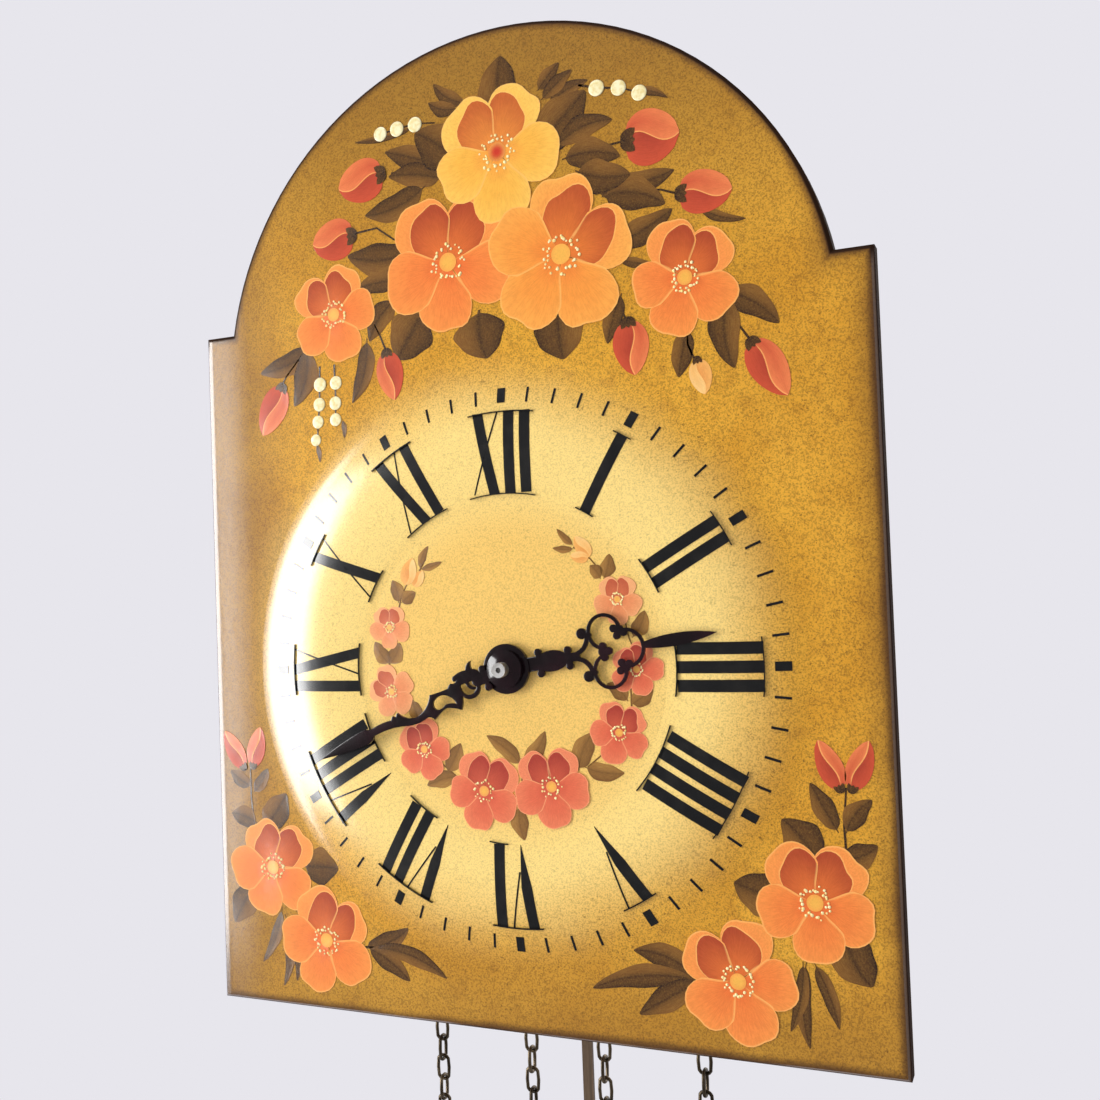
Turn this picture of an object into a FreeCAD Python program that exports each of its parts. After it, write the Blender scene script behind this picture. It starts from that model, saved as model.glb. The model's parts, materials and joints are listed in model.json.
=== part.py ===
"""Black forest wall clock: arched painted shield, wooden case, two-train chain movement and pendulum.

Millimetres, +Z up, the dial faces -Y.  The origin is the hanging bush, on the plane of the wall.
"""
import FreeCAD, Part
import math
import os
import re
import Sketcher

DOC = FreeCAD.newDocument("wall_clock")
AXIS_X = FreeCAD.Vector(1, 0, 0)
AXIS_Y = FreeCAD.Vector(0, 1, 0)
AXIS_Z = FreeCAD.Vector(0, 0, 1)
FACING_FRONT = FreeCAD.Rotation(AXIS_X, 90)
UPRIGHT = FreeCAD.Rotation()
POINTING_FRONT = FreeCAD.Rotation(AXIS_X, 180)
POINTING_RIGHT = FreeCAD.Rotation(AXIS_Z, -90)
POINTING_LEFT = FreeCAD.Rotation(AXIS_Z, 90)

# Driving dimensions
SIZES = {
    # painted shield
    "shield_width": 220,
    "shoulder_height": 220,
    "shoulder_step": 10.7,
    "arch_height": 82.5,
    "shield_thickness": 6,
    "shield_edge_bevel": 0.9,
    "hand_height": 108.5,
    "dome_radius": 91,
    "flank_radius": 85,
    "crest_radius": 64,
    "groove_radius": 49,
    "dome_rise": 3.2,
    "groove_depth": 0.7,
    "centre_depth": 0.2,
    "hand_hole_radius": 5,
    # hanging bush
    "hanger_rise": 75,
    "hanger_radius": 4,
    "hanger_wall": 3,
    "hanger_flange": 2.5,
    "hanger_flange_thickness": 1.2,
    # case
    "back_thickness": 8,
    "top_thickness": 8,
    "seat_thickness": 10,
    "ceiling_rise": 102,
    "case_side_gap": 2,
    "stile_width": 16,
    "stile_depth": 7,
    "chain_hole_radius": 5.5,
    "pendulum_slot": 30,
    "shield_screw_radius": 1.3,
    "shield_screw_grip": 3.5,
    "shield_screw_head": 2.6,
    "shield_screw_inset": 14,
    # side doors
    "door_thickness": 6,
    "door_gap": 0.6,
    "door_rear_gap": 1.6,
    "hinge_inset": 3.2,
    "hinge_pin_radius": 0.9,
    "hinge_pin_reach": 5,
    "hinge_fit": 0.05,
    "knob_radius": 4.5,
    "knob_length": 8,
    "knob_inset": 10,
    # movement frame
    "plate_half_width": 60,
    "plate_top": 60,
    "plate_bottom": 52,
    "plate_thickness": 1.5,
    "plate_gap": 26,
    "motion_gap": 8.5,
    "rear_gap": 14.5,
    "pillar_radius": 3,
    "pillar_top_x": 34,
    "pillar_top_z": 54.5,
    "pillar_low_z": 46.8,
    "tenon_radius": 1.5,
    "nut_radius": 2.8,
    "nut_thickness": 1.8,
    "foot_x": 38,
    "foot_width": 12,
    "foot_reach": 7,
    "foot_thickness": 1.5,
    "seat_screw_radius": 1.2,
    "seat_screw_head": 2.6,
    "seat_screw_length": 7,
    # running fits
    "pivot_radius": 0.8,
    "running_fit": 0.05,
    "drill_overrun": 1,
    "end_shake": 0.3,
    "shaft_radius": 1,
    # places of the arbors, measured from the hand axis
    "sprocket_x": 28.9,
    "sprocket_drop": 11.76,
    "third_x": 15,
    "third_z": 16.1,
    "escape_z": 29.3,
    "anchor_z": 47.3,
    "stud_x": 10.6,
    "stud_z": 10.6,
    "pin_x": 22,
    "pin_z": 19.9,
    "warning_x": 27,
    "warning_z": 37.2,
    "fly_x": 14.5,
    "fly_z": 47.2,
    "hammer_x": 50,
    "hammer_z": 24,
    # tooth counts
    "great_teeth": 96,
    "centre_leaves": 8,
    "centre_teeth": 80,
    "third_leaves": 8,
    "third_teeth": 72,
    "escape_leaves": 8,
    "escape_teeth": 40,
    "cannon_leaves": 12,
    "minute_teeth": 36,
    "minute_leaves": 10,
    "hour_teeth": 40,
    "strike_great_teeth": 84,
    "pin_leaves": 14,
    "pin_teeth": 64,
    "warning_leaves": 8,
    "warning_teeth": 56,
    "fly_leaves": 8,
    # wheels, with depths measured back from the front plate
    "wheel_thickness": 1.2,
    "great_thickness": 2,
    "pinion_overlap": 0.8,
    "centre_wheel_depth": 2,
    "great_depth": 7,
    "pin_wheel_depth": 7,
    "escape_depth": 14,
    "rear_wheel_depth": 23.2,
    "strike_great_depth": 20,
    "escape_radius": 13,
    "lift_pins": 8,
    "lift_pin_circle": 12.5,
    "lift_pin_radius": 0.7,
    "lift_pin_length": 3,
    "fly_radius": 9,
    "fly_depth": 2,
    "fly_length": 9,
    "fly_leaf": 0.8,
    # motion work and hands, with places measured forward of the front plate
    "centre_arbor_radius": 1.5,
    "cannon_pipe_wall": 0.7,
    "hour_pipe_wall": 0.95,
    "hour_wheel_stand": 5.5,
    "minute_wheel_stand": 2.7,
    "stud_radius": 1.2,
    "stud_collar": 2,
    "hand_thickness": 0.8,
    "hour_hand_clearance": 0.5,
    "hour_boss_height": 0.4,
    "hour_boss_radius": 7.4,
    "hand_gap": 0.3,
    "hour_hand_length": 65,
    "hour_hand_angle": 81.4,
    "minute_hand_length": 71,
    "minute_hand_angle": 246.7,
    "hand_nut_radius": 5.6,
    "hand_nut_thickness": 1.4,
    "arbor_tip_reach": 2.8,
    "arbor_tip_hole": 0.8,
    # escapement and pendulum
    "anchor_thickness": 2.4,
    "crutch_thickness": 1.2,
    "crutch_width": 3,
    "crutch_length": 38,
    "crutch_gap": 0.7,
    "fork_pin_radius": 0.6,
    "fork_play": 0.3,
    "pendulum_length": 248,
    "rod_width": 3.6,
    "rod_thickness": 1.2,
    "rod_gap": 3.4,
    "rod_eye_radius": 3.2,
    "suspension_pin_radius": 1,
    "bracket_width": 10,
    "bracket_thickness": 1.5,
    "bracket_arm_width": 6,
    "bracket_arm_height": 2.5,
    "bracket_clearance": 2,
    "bob_radius": 20,
    "bob_thickness": 8,
    "bob_rim": 1,
    "rod_tail": 14,
    "rating_nut_radius": 4,
    "rating_nut_height": 4,
    # chains, sprockets and weights
    "link_pitch": 6.5,
    "link_wire": 1.15,
    "link_width": 5.2,
    "link_play": 0.2,
    "sprocket_teeth": 8,
    "sprocket_depth": 14.6,
    "sprocket_width": 7.6,
    "sprocket_arbor_radius": 2.5,
    "sprocket_tooth_length": 2.34,
    "sprocket_tooth_play": 0.3,
    "ratchet_radius": 8,
    "ratchet_thickness": 1.4,
    "ratchet_teeth": 14,
    "click_gap": 0.4,
    "click_height": 2.8,
    "weight_links": 22,
    "free_links": 58,
    "weight_radius": 14,
    "weight_height": 75,
    "eye_radius": 2.7,
    "eye_wire": 1.6,
    "pull_ring_radius": 7,
    # bell and hammer
    "bell_x": 14,
    "bell_mouth_z": 64,
    "bell_radius": 22,
    "bell_wall": 1.6,
    "bell_post_radius": 1.5,
    "bell_arm_width": 6,
    "bell_arm_thickness": 2,
    "bell_seat_gap": 0.2,
    "bell_foot_height": 12,
    "bell_stem_drop": 3,
    "bell_stem_rise": 2,
    "bell_screw_height": 2.5,
    "hammer_arm_radius": 1,
    "hammer_head_radius": 4,
    "hammer_head_length": 7,
    "hammer_rest_gap": 0.5,
    "hammer_tail": 13.5,
}

# Places that follow from the driving dimensions
LAYOUT = {
    # planes from the wall forward
    "y_board": "-back_thickness",
    "y_rear": "y_board - rear_gap",
    "y_back_plate": "y_rear - plate_thickness",
    "y_train": "y_back_plate - plate_gap",
    "y_front_plate": "y_train - plate_thickness",
    "y_shield": "y_front_plate - motion_gap",
    "y_front": "y_shield - shield_thickness",
    # heights
    "z_hand": "-hanger_rise",
    "z_bottom": "z_hand - hand_height",
    "z_shoulder": "z_bottom + shoulder_height",
    "z_seat": "z_hand - plate_bottom",
    "z_floor": "z_seat - seat_thickness",
    "z_ceiling": "z_hand + ceiling_rise",
    "z_roof": "z_ceiling + top_thickness",
    "z_sprocket": "z_hand - sprocket_drop",
    "z_anchor": "z_hand + anchor_z",
    "z_bob": "z_anchor - pendulum_length",
    # arch of the shield
    "arch_half": "shield_width / 2 - shoulder_step",
    "arch_radius": "(arch_half * arch_half + arch_height * arch_height) / (2 * arch_height)",
    "arch_centre": "shoulder_height + arch_height - arch_radius",
    # case widths and door planes
    "case_half": "plate_half_width + case_side_gap",
    "case_outer": "case_half + door_thickness",
    "y_stile": "y_shield + stile_depth",
    "y_door_front": "y_stile + door_gap",
    "y_door_rear": "y_board - door_rear_gap",
    "y_hinge": "y_door_rear - hinge_inset",
    # modules from centre distances and tooth counts
    "sprocket_reach": "sqrt(sprocket_x * sprocket_x + sprocket_drop * sprocket_drop)",
    "great_module": "2 * sprocket_reach / (great_teeth + centre_leaves)",
    "third_reach": "sqrt(third_x * third_x + third_z * third_z)",
    "centre_module": "2 * third_reach / (centre_teeth + third_leaves)",
    "escape_reach": "sqrt(third_x * third_x + (escape_z - third_z) * (escape_z - third_z))",
    "third_module": "2 * escape_reach / (third_teeth + escape_leaves)",
    "stud_reach": "sqrt(stud_x * stud_x + stud_z * stud_z)",
    "cannon_module": "2 * stud_reach / (cannon_leaves + minute_teeth)",
    "hour_module": "2 * stud_reach / (minute_leaves + hour_teeth)",
    "pin_across": "pin_x - sprocket_x",
    "pin_up": "pin_z + sprocket_drop",
    "pin_reach": "sqrt(pin_across * pin_across + pin_up * pin_up)",
    "strike_module": "2 * pin_reach / (strike_great_teeth + pin_leaves)",
    "warning_across": "warning_x - pin_x",
    "warning_up": "warning_z - pin_z",
    "warning_reach": "sqrt(warning_across * warning_across + warning_up * warning_up)",
    "pin_module": "2 * warning_reach / (pin_teeth + warning_leaves)",
    "fly_across": "fly_x - warning_x",
    "fly_up": "fly_z - warning_z",
    "fly_reach": "sqrt(fly_across * fly_across + fly_up * fly_up)",
    "fly_module": "2 * fly_reach / (warning_teeth + fly_leaves)",
    # rear faces of the wheels
    "y_centre_wheel": "y_train + centre_wheel_depth + wheel_thickness",
    "y_great": "y_train + great_depth + great_thickness",
    "y_pin_wheel": "y_train + pin_wheel_depth + wheel_thickness",
    "y_escape": "y_train + escape_depth + wheel_thickness",
    "y_rear_wheel": "y_train + rear_wheel_depth + wheel_thickness",
    "y_strike_great": "y_train + strike_great_depth + great_thickness",
    "y_chain": "y_train + sprocket_depth",
    # hand stack, forward of the dome
    "cannon_pipe_radius": "centre_arbor_radius + cannon_pipe_wall",
    "hour_bore": "cannon_pipe_radius + running_fit",
    "hour_pipe_radius": "hour_bore + hour_pipe_wall",
    "y_hour_hand": "y_front - dome_rise - hour_hand_clearance",
    "y_hour_tip": "y_hour_hand - hand_thickness - hour_boss_height",
    "y_minute_hand": "y_hour_tip - hand_gap",
    "y_hand_nut": "y_minute_hand - hand_thickness",
    "y_arbor_tip": "y_hand_nut - hand_nut_thickness - arbor_tip_reach",
    "y_hour_wheel": "y_front_plate - hour_wheel_stand",
    "y_minute_wheel": "y_front_plate - minute_wheel_stand",
    # pendulum
    "y_rod": "y_rear + rod_gap",
    "y_crutch": "y_rear + crutch_gap",
    # chain circle: sixteen straight links round eight teeth
    "link_angle": "180 / (2 * sprocket_teeth)",
    "chain_radius": "link_pitch / 2 / tan(link_angle * 1 deg)",
    "weight_x": "sprocket_x + chain_radius",
    "free_x": "sprocket_x - chain_radius",
    "z_weight_link": "z_sprocket - weight_links * link_pitch",
    "z_free_link": "z_sprocket - free_links * link_pitch",
    "eye_drop": "(link_pitch + link_play) / 2 - eye_wire / 2 - link_play",
    "z_weight": "z_weight_link - eye_drop - 2 * eye_radius - eye_wire / 2",
    # bell
    "y_bell": "(y_shield + y_board) / 2",
    "z_bell": "z_hand + bell_mouth_z",
}

WORD = re.compile(r"[a-z][a-z_0-9]*")
PARTS = {}


def fill_sheet(name, cells, names_of_others):
    """A spreadsheet with one labelled, aliased cell per named value."""
    sheet = DOC.addObject("Spreadsheet::Sheet", name)
    for row, (alias, content) in enumerate(cells.items(), start=1):
        text = str(content)
        if names_of_others:
            text = "=" + WORD.sub(lambda word: names_of_others.get(word[0], word[0]), text)
        sheet.set(f"A{row}", alias)
        sheet.setAlias(f"B{row}", alias)
        sheet.set(f"B{row}", text)
    return sheet


SIZE_SHEET = fill_sheet("Sizes", SIZES, {})
SIZE_NAMES = {alias: f"Sizes.{alias}" for alias in SIZES}
LAYOUT_SHEET = fill_sheet("Layout", LAYOUT, SIZE_NAMES)
NAMES = {**SIZE_NAMES, **{alias: f"Layout.{alias}" for alias in LAYOUT}}
PROBE = DOC.addObject("App::FeaturePython", "Probe")
DOC.recompute()


def val(alias):
    """The present value of a named size or place."""
    sheet = SIZE_SHEET if alias in SIZES else LAYOUT_SHEET
    return float(sheet.get(alias))


def quantity(formula):
    """The present value of a formula over the named values."""
    bound = WORD.sub(lambda word: NAMES.get(word[0], word[0]), str(formula))
    return float(PROBE.evalExpression(bound))


def count(alias):
    """A named value that counts teeth, leaves or links."""
    return int(round(val(alias)))


def tie(obj, **formulas):
    """Bind properties to formulas over the named values; a double underscore stands for a dot."""
    for prop, formula in formulas.items():
        bound = WORD.sub(lambda word: NAMES.get(word[0], word[0]), str(formula))
        obj.setExpression(prop.replace("__", "."), bound)
    return obj


def place(obj, x, y, z, turn=UPRIGHT):
    """Give an object its turn and bind its base point."""
    obj.Placement = FreeCAD.Placement(FreeCAD.Vector(), turn)
    return tie(obj, Placement__Base__x=x, Placement__Base__y=y, Placement__Base__z=z)


def box(x, y, z, length, width, height):
    """A block whose lowest corner is at x, y, z."""
    block = DOC.addObject("Part::Box", "Block")
    tie(block, Length=length, Width=width, Height=height)
    return place(block, x, y, z)


def rod(x, rear, z, radius, length):
    """A round bar along Y that ends at the plane y = rear and runs forward."""
    bar = DOC.addObject("Part::Cylinder", "Bar")
    tie(bar, Radius=radius, Height=length)
    return place(bar, x, rear, z, FACING_FRONT)


def drill(x, rear, z, radius, length):
    """A round bar along Y for a hole, longer than the hole at both ends."""
    return rod(x, f"{rear} + drill_overrun", z, radius, f"{length} + 2 * drill_overrun")


def post(x, y, z, radius, height):
    """A round bar that stands on the point x, y, z."""
    bar = DOC.addObject("Part::Cylinder", "Post")
    tie(bar, Radius=radius, Height=height)
    return place(bar, x, y, z)


def hex_nut(x, rear, z, radius, thickness):
    """A hexagon nut along Y, in front of the plane y = rear."""
    nut = DOC.addObject("Part::Prism", "Nut")
    nut.Polygon = 6
    tie(nut, Circumradius=radius, Height=thickness)
    return place(nut, x, rear, z, FACING_FRONT)


def solid(shape, x="0", y="0", z="0", turn=UPRIGHT):
    """A shape worked out by formula, as an object with a bound place."""
    piece = DOC.addObject("Part::Feature", "Formed")
    piece.Shape = shape
    return place(piece, x, y, z, turn)


def cut(base, tools):
    """The base with every tool taken out of it."""
    for tool in tools:
        result = DOC.addObject("Part::Cut", "Cut")
        result.Base = base
        result.Tool = tool
        base = result
    return base


def fuse(pieces):
    """One solid made of pieces that overlap or meet."""
    result = DOC.addObject("Part::MultiFuse", "Fusion")
    result.Shapes = pieces
    result.Refine = True
    return result


def group(pieces):
    """Several separate solids that share one name."""
    result = DOC.addObject("Part::Compound", "Group")
    result.Links = pieces
    return result


def keep(label, obj):
    """Name a finished piece."""
    obj.Label = label
    PARTS[label] = obj
    return obj


def outline(sketch, corners):
    """A closed polygon in a sketch, with each corner bound to a pair of formulas."""
    probe = [tuple(quantity(part) for part in corner) for corner in corners]
    points = [FreeCAD.Vector(x, y, 0) for x, y in probe]
    first = sketch.GeometryCount
    total = len(points)
    for index, point in enumerate(points):
        sketch.addGeometry(Part.LineSegment(point, points[(index + 1) % total]))
    for index in range(total):
        line = first + index
        sketch.addConstraint(Sketcher.Constraint("Coincident", line, 2, first + (index + 1) % total, 1))
    for index, (x, y) in enumerate(corners):
        bind_point(sketch, first + index, 1, probe[index], x, y)
    return first


def bind_point(sketch, geometry, end, now, x, y):
    """Hold one end of a sketch line at a bound distance from the sketch origin."""
    for kind, value, formula in (("DistanceX", now[0], x), ("DistanceY", now[1], y)):
        number = sketch.addConstraint(Sketcher.Constraint(kind, -1, 1, geometry, end, value))
        tie(sketch, **{f"Constraints[{number}]": formula})


def new_sketch(body, role="XY_Plane"):
    """An empty sketch on one of a body's own planes."""
    sketch = body.newObject("Sketcher::SketchObject", "Outline")
    plane = [feature for feature in body.Origin.OriginFeatures if feature.Role == role][0]
    sketch.AttachmentSupport = [(plane, "")]
    sketch.MapMode = "FlatFace"
    return sketch


def flat_piece(corners, thickness, x, rear, z):
    """A flat plate cut to a polygon, in front of the plane y = rear."""
    body = DOC.addObject("PartDesign::Body", "Plate")
    sketch = new_sketch(body)
    outline(sketch, corners)
    pad = body.newObject("PartDesign::Pad", "Pad")
    pad.Profile = sketch
    tie(pad, Length=thickness)
    return place(body, x, rear, z, FACING_FRONT)


def turned_piece(corners, x, y, z, turn=FACING_FRONT):
    """A lathe-turned piece: radius and height pairs swung round the sketch's upright axis."""
    body = DOC.addObject("PartDesign::Body", "Turning")
    sketch = new_sketch(body)
    outline(sketch, corners)
    swing = body.newObject("PartDesign::Revolution", "Swing")
    swing.Profile = sketch
    swing.ReferenceAxis = (sketch, ["V_Axis"])
    swing.Angle = 360
    return place(body, x, y, z, turn)


# Toothed wheels
def at_angle(radius, angle):
    """A point of the drawing plane in polar form, with the angle in radians."""
    return FreeCAD.Vector(radius * math.cos(angle), radius * math.sin(angle), 0)


# Tooth forms: half width in pitches, heights in modules, flank widths as shares of the half width
WHEEL_TOOTH = {"half": 0.235, "top": 1.25, "root": 1.5, "side": 0.66, "side_rise": 0.5, "tip": 0.14}
PINION_LEAF = {"half": 0.17, "top": 0.55, "root": 1.75, "side": 0.85, "side_rise": 0.55, "tip": 0.3}


def tooth_ring(teeth, module, phase, form):
    """The closed outline of a clock wheel, or of a pinion with thin round-topped leaves."""
    pitch = 2 * math.pi / teeth
    half = form["half"] * pitch
    radius = teeth * module / 2
    tip = radius + form["top"] * module
    middle = radius + form["side_rise"] * form["top"] * module
    bottom = radius - form["root"] * module
    edges = []
    for index in range(teeth):
        axis = phase + index * pitch
        feet = [at_angle(bottom, axis + side * half) for side in (-1, 1)]
        hips = [at_angle(radius, axis + side * half) for side in (-1, 1)]
        sides = [at_angle(middle, axis + side * half * form["side"]) for side in (-1, 1)]
        tips = [at_angle(tip, axis + side * half * form["tip"]) for side in (-1, 1)]
        next_foot = at_angle(bottom, axis + pitch - half)
        edges.append(Part.LineSegment(feet[0], hips[0]).toShape())
        edges.append(Part.Arc(hips[0], sides[0], tips[0]).toShape())
        edges.append(Part.LineSegment(tips[0], tips[1]).toShape())
        edges.append(Part.Arc(tips[1], sides[1], hips[1]).toShape())
        edges.append(Part.LineSegment(hips[1], feet[1]).toShape())
        edges.append(Part.LineSegment(feet[1], next_foot).toShape())
    return Part.Wire(edges)


def crossing(inner, outer, spoke, start, end):
    """The closed outline of one window between two spokes."""
    lean_in = math.asin(spoke / 2 / inner)
    lean_out = math.asin(spoke / 2 / outer)
    middle = (start + end) / 2
    corners = [
        at_angle(inner, start + lean_in),
        at_angle(outer, start + lean_out),
        at_angle(outer, end - lean_out),
        at_angle(inner, end - lean_in),
    ]
    return Part.Wire([
        Part.LineSegment(corners[0], corners[1]).toShape(),
        Part.Arc(corners[1], at_angle(outer, middle), corners[2]).toShape(),
        Part.LineSegment(corners[2], corners[3]).toShape(),
        Part.Arc(corners[3], at_angle(inner, middle), corners[0]).toShape(),
    ])


def round_hole(radius, centre=FreeCAD.Vector()):
    """A circle as a closed outline."""
    return Part.Wire([Part.Circle(centre, AXIS_Z, radius).toShape()])


def slab(outer, holes, thickness):
    """A flat solid with holes, from outlines."""
    face = Part.Face([outer] + holes)
    if not face.isValid():
        face.validate()
    return face.extrude(AXIS_Z * thickness)


SPOKES = 5
RIM_SHARE = 0.83
HUB_SHARE = 1.9
LEAST_HUB = 0.2
SPOKE_SHARE = 0.09


def wheel_shape(teeth, module, phase, bore, thickness):
    """A crossed-out brass wheel."""
    root = teeth * module / 2 - WHEEL_TOOTH["root"] * module
    hub = max(HUB_SHARE * bore, LEAST_HUB * root)
    turn = 2 * math.pi / SPOKES
    holes = [round_hole(bore)]
    for index in range(SPOKES):
        window = crossing(hub, RIM_SHARE * root, SPOKE_SHARE * root, index * turn, (index + 1) * turn)
        holes.append(window)
    return slab(tooth_ring(teeth, module, phase, WHEEL_TOOTH), holes, thickness)


def pinion_shape(leaves, module, phase, thickness):
    """A solid steel pinion."""
    return slab(tooth_ring(leaves, module, phase, PINION_LEAF), [], thickness)


def mesh_phase(towards, teeth, phase, mate_teeth):
    """The phase of a wheel whose tooth gap meets its mate's tooth; towards points at the new wheel."""
    share = (towards - phase) * teeth / (2 * math.pi)
    return towards + math.pi - (0.5 - share) * 2 * math.pi / mate_teeth


def direction(from_x, from_z, to_x, to_z):
    """The angle of the line between two arbors, seen from the front."""
    return math.atan2(to_z - from_z, to_x - from_x)


def plain_arbor(x, z, radius):
    """A shaft between the plates with a thin pivot through each plate."""
    shaft = rod(x, "y_back_plate - end_shake", z, radius, "plate_gap - 2 * end_shake")
    pivots = rod(x, "y_rear", z, "pivot_radius", "plate_gap + 2 * plate_thickness")
    return [shaft, pivots]


def pinion(x, z, rear, thickness, leaves, module, phase):
    """A pinion in the train, in front of the plane y = rear; thickness is a formula."""
    shape = pinion_shape(count(leaves), val(module), phase, quantity(thickness))
    return solid(shape, x, rear, z, FACING_FRONT)


def train_wheel(x, z, rear, thickness, teeth, module, phase, bore):
    """A wheel in the train, in front of the plane y = rear."""
    shape = wheel_shape(count(teeth), val(module), phase, quantity(bore), val(thickness))
    return solid(shape, x, rear, z, FACING_FRONT)


# Painted shield and its wooden case
def make_shield():
    """Square board with an arched head, a low dome for the dial and a hole for the hand arbors."""
    body = DOC.addObject("PartDesign::Body", "Shield")
    sketch = new_sketch(body)
    half = val("shield_width") / 2
    shoulder = val("shoulder_height")
    step = val("arch_half")
    radius = val("arch_radius")
    centre = val("arch_centre")
    lean = math.atan2(shoulder - centre, step)
    left = [(-step, shoulder), (-half, shoulder), (-half, 0)]
    corners = left + [(-x, y) for x, y in reversed(left)]
    points = [FreeCAD.Vector(x, y, 0) for x, y in corners]
    for start, end in zip(points, points[1:]):
        sketch.addGeometry(Part.LineSegment(start, end))
    circle = Part.Circle(FreeCAD.Vector(0, centre, 0), AXIS_Z, radius)
    arch = sketch.addGeometry(Part.ArcOfCircle(circle, lean, math.pi - lean))
    for line in range(4):
        sketch.addConstraint(Sketcher.Constraint("Coincident", line, 2, line + 1, 1))
    sketch.addConstraint(Sketcher.Constraint("Coincident", 4, 2, arch, 1))
    sketch.addConstraint(Sketcher.Constraint("Coincident", arch, 2, 0, 1))
    bind_point(sketch, 0, 1, corners[0], "-arch_half", "shoulder_height")
    bind_point(sketch, 1, 1, corners[1], "-shield_width / 2", "shoulder_height")
    bind_point(sketch, 2, 1, corners[2], "-shield_width / 2", "0")
    bind_point(sketch, 3, 1, corners[3], "shield_width / 2", "0")
    bind_point(sketch, 4, 1, corners[4], "shield_width / 2", "shoulder_height")
    bind_point(sketch, 4, 2, corners[5], "arch_half", "shoulder_height")
    bend = sketch.addConstraint(Sketcher.Constraint("Radius", arch, radius))
    tie(sketch, **{f"Constraints[{bend}]": "arch_radius"})
    pad = body.newObject("PartDesign::Pad", "Board")
    pad.Profile = sketch
    tie(pad, Length="shield_thickness")
    DOC.recompute()
    bevel = body.newObject("PartDesign::Chamfer", "Edge")
    front = [
        f"Face{number}" for number, face in enumerate(pad.Shape.Faces, start=1)
        if face.CenterOfMass.z > val("shield_thickness") * 0.99
    ]
    bevel.Base = (pad, front)
    tie(bevel, Size="shield_edge_bevel")
    place(body, "0", "y_shield", "z_bottom", FACING_FRONT)
    dome = solid(dome_shape(), "0", "y_front", "z_hand", POINTING_FRONT)
    bore = drill("0", "y_shield", "z_hand", "hand_hole_radius", "shield_thickness + dome_rise")
    pilots = [
        rod(x, "y_shield", z, "shield_screw_radius", "shield_screw_grip") for x, z in shield_screw_places()
    ]
    keep("shield_board", cut(fuse([body, dome]), [bore] + pilots))


def dome_shape():
    """A raised dial ring round a shallow crown, standing half the board's thickness deep in the board."""
    rise = val("dome_rise")
    depth = val("shield_thickness") / 2
    middle = FreeCAD.Vector(0, rise - val("centre_depth"), 0)
    groove = FreeCAD.Vector(val("groove_radius"), rise - val("groove_depth"), 0)
    crest = FreeCAD.Vector(val("crest_radius"), rise, 0)
    foot = FreeCAD.Vector(val("dome_radius"), 0, 0)
    flank_share = (val("dome_radius") - val("flank_radius")) / (val("dome_radius") - val("crest_radius"))
    flank = FreeCAD.Vector(val("flank_radius"), rise * flank_share, 0)
    under = [foot, FreeCAD.Vector(foot.x, -depth, 0), FreeCAD.Vector(0, -depth, 0), middle]
    upper = [
        level_arc(middle, groove),
        level_arc(crest, groove),
        level_arc(crest, flank),
        level_arc(foot, flank),
    ]
    section = Part.Face(Part.Wire(upper + Part.makePolygon(under).Edges))
    return section.revolve(FreeCAD.Vector(), AXIS_Y, 360)


def level_arc(high, low):
    """An arc that leaves its high end level and falls to its low end."""
    across = low.x - high.x
    fall = high.y - low.y
    radius = (across * across + fall * fall) / (2 * fall)
    half_way = math.asin(across / radius) / 2
    between = FreeCAD.Vector(radius * math.sin(half_way), -radius * (1 - math.cos(half_way)), 0)
    return Part.Arc(high, high + between, low).toShape()


def shield_screw_places():
    """The four screws that hold the shield, in the middle of the stiles near their ends."""
    across = "(case_outer - stile_width / 2)"
    heights = ("z_seat + shield_screw_inset", "z_ceiling - shield_screw_inset")
    return [(f"{side}{across}", height) for side in ("-", "") for height in heights]


def make_stiles():
    """Two upright strips behind the shield, and the countersunk screws through them."""
    strips = []
    for left in ("-case_outer", "case_outer - stile_width"):
        strip = box(left, "y_shield", "z_seat", "stile_width", "stile_depth", "z_ceiling - z_seat")
        strips.append(strip)
    screws = []
    drills = []
    for x, z in shield_screw_places():
        for holder in (screws, drills):
            shank = rod(x, "y_stile", z, "shield_screw_radius", "stile_depth + shield_screw_grip")
            head = DOC.addObject("Part::Cone", "Head")
            tie(head, Radius1="shield_screw_head", Radius2="shield_screw_radius")
            tie(head, Height="shield_screw_head")
            place(head, x, "y_stile", z, FACING_FRONT)
            holder.append(fuse([shank, head]))
    keep("shield_screws", group(screws))
    keep("case_front_stiles", group([cut(strips[0], drills[:2]), cut(strips[1], drills[2:])]))


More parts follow.
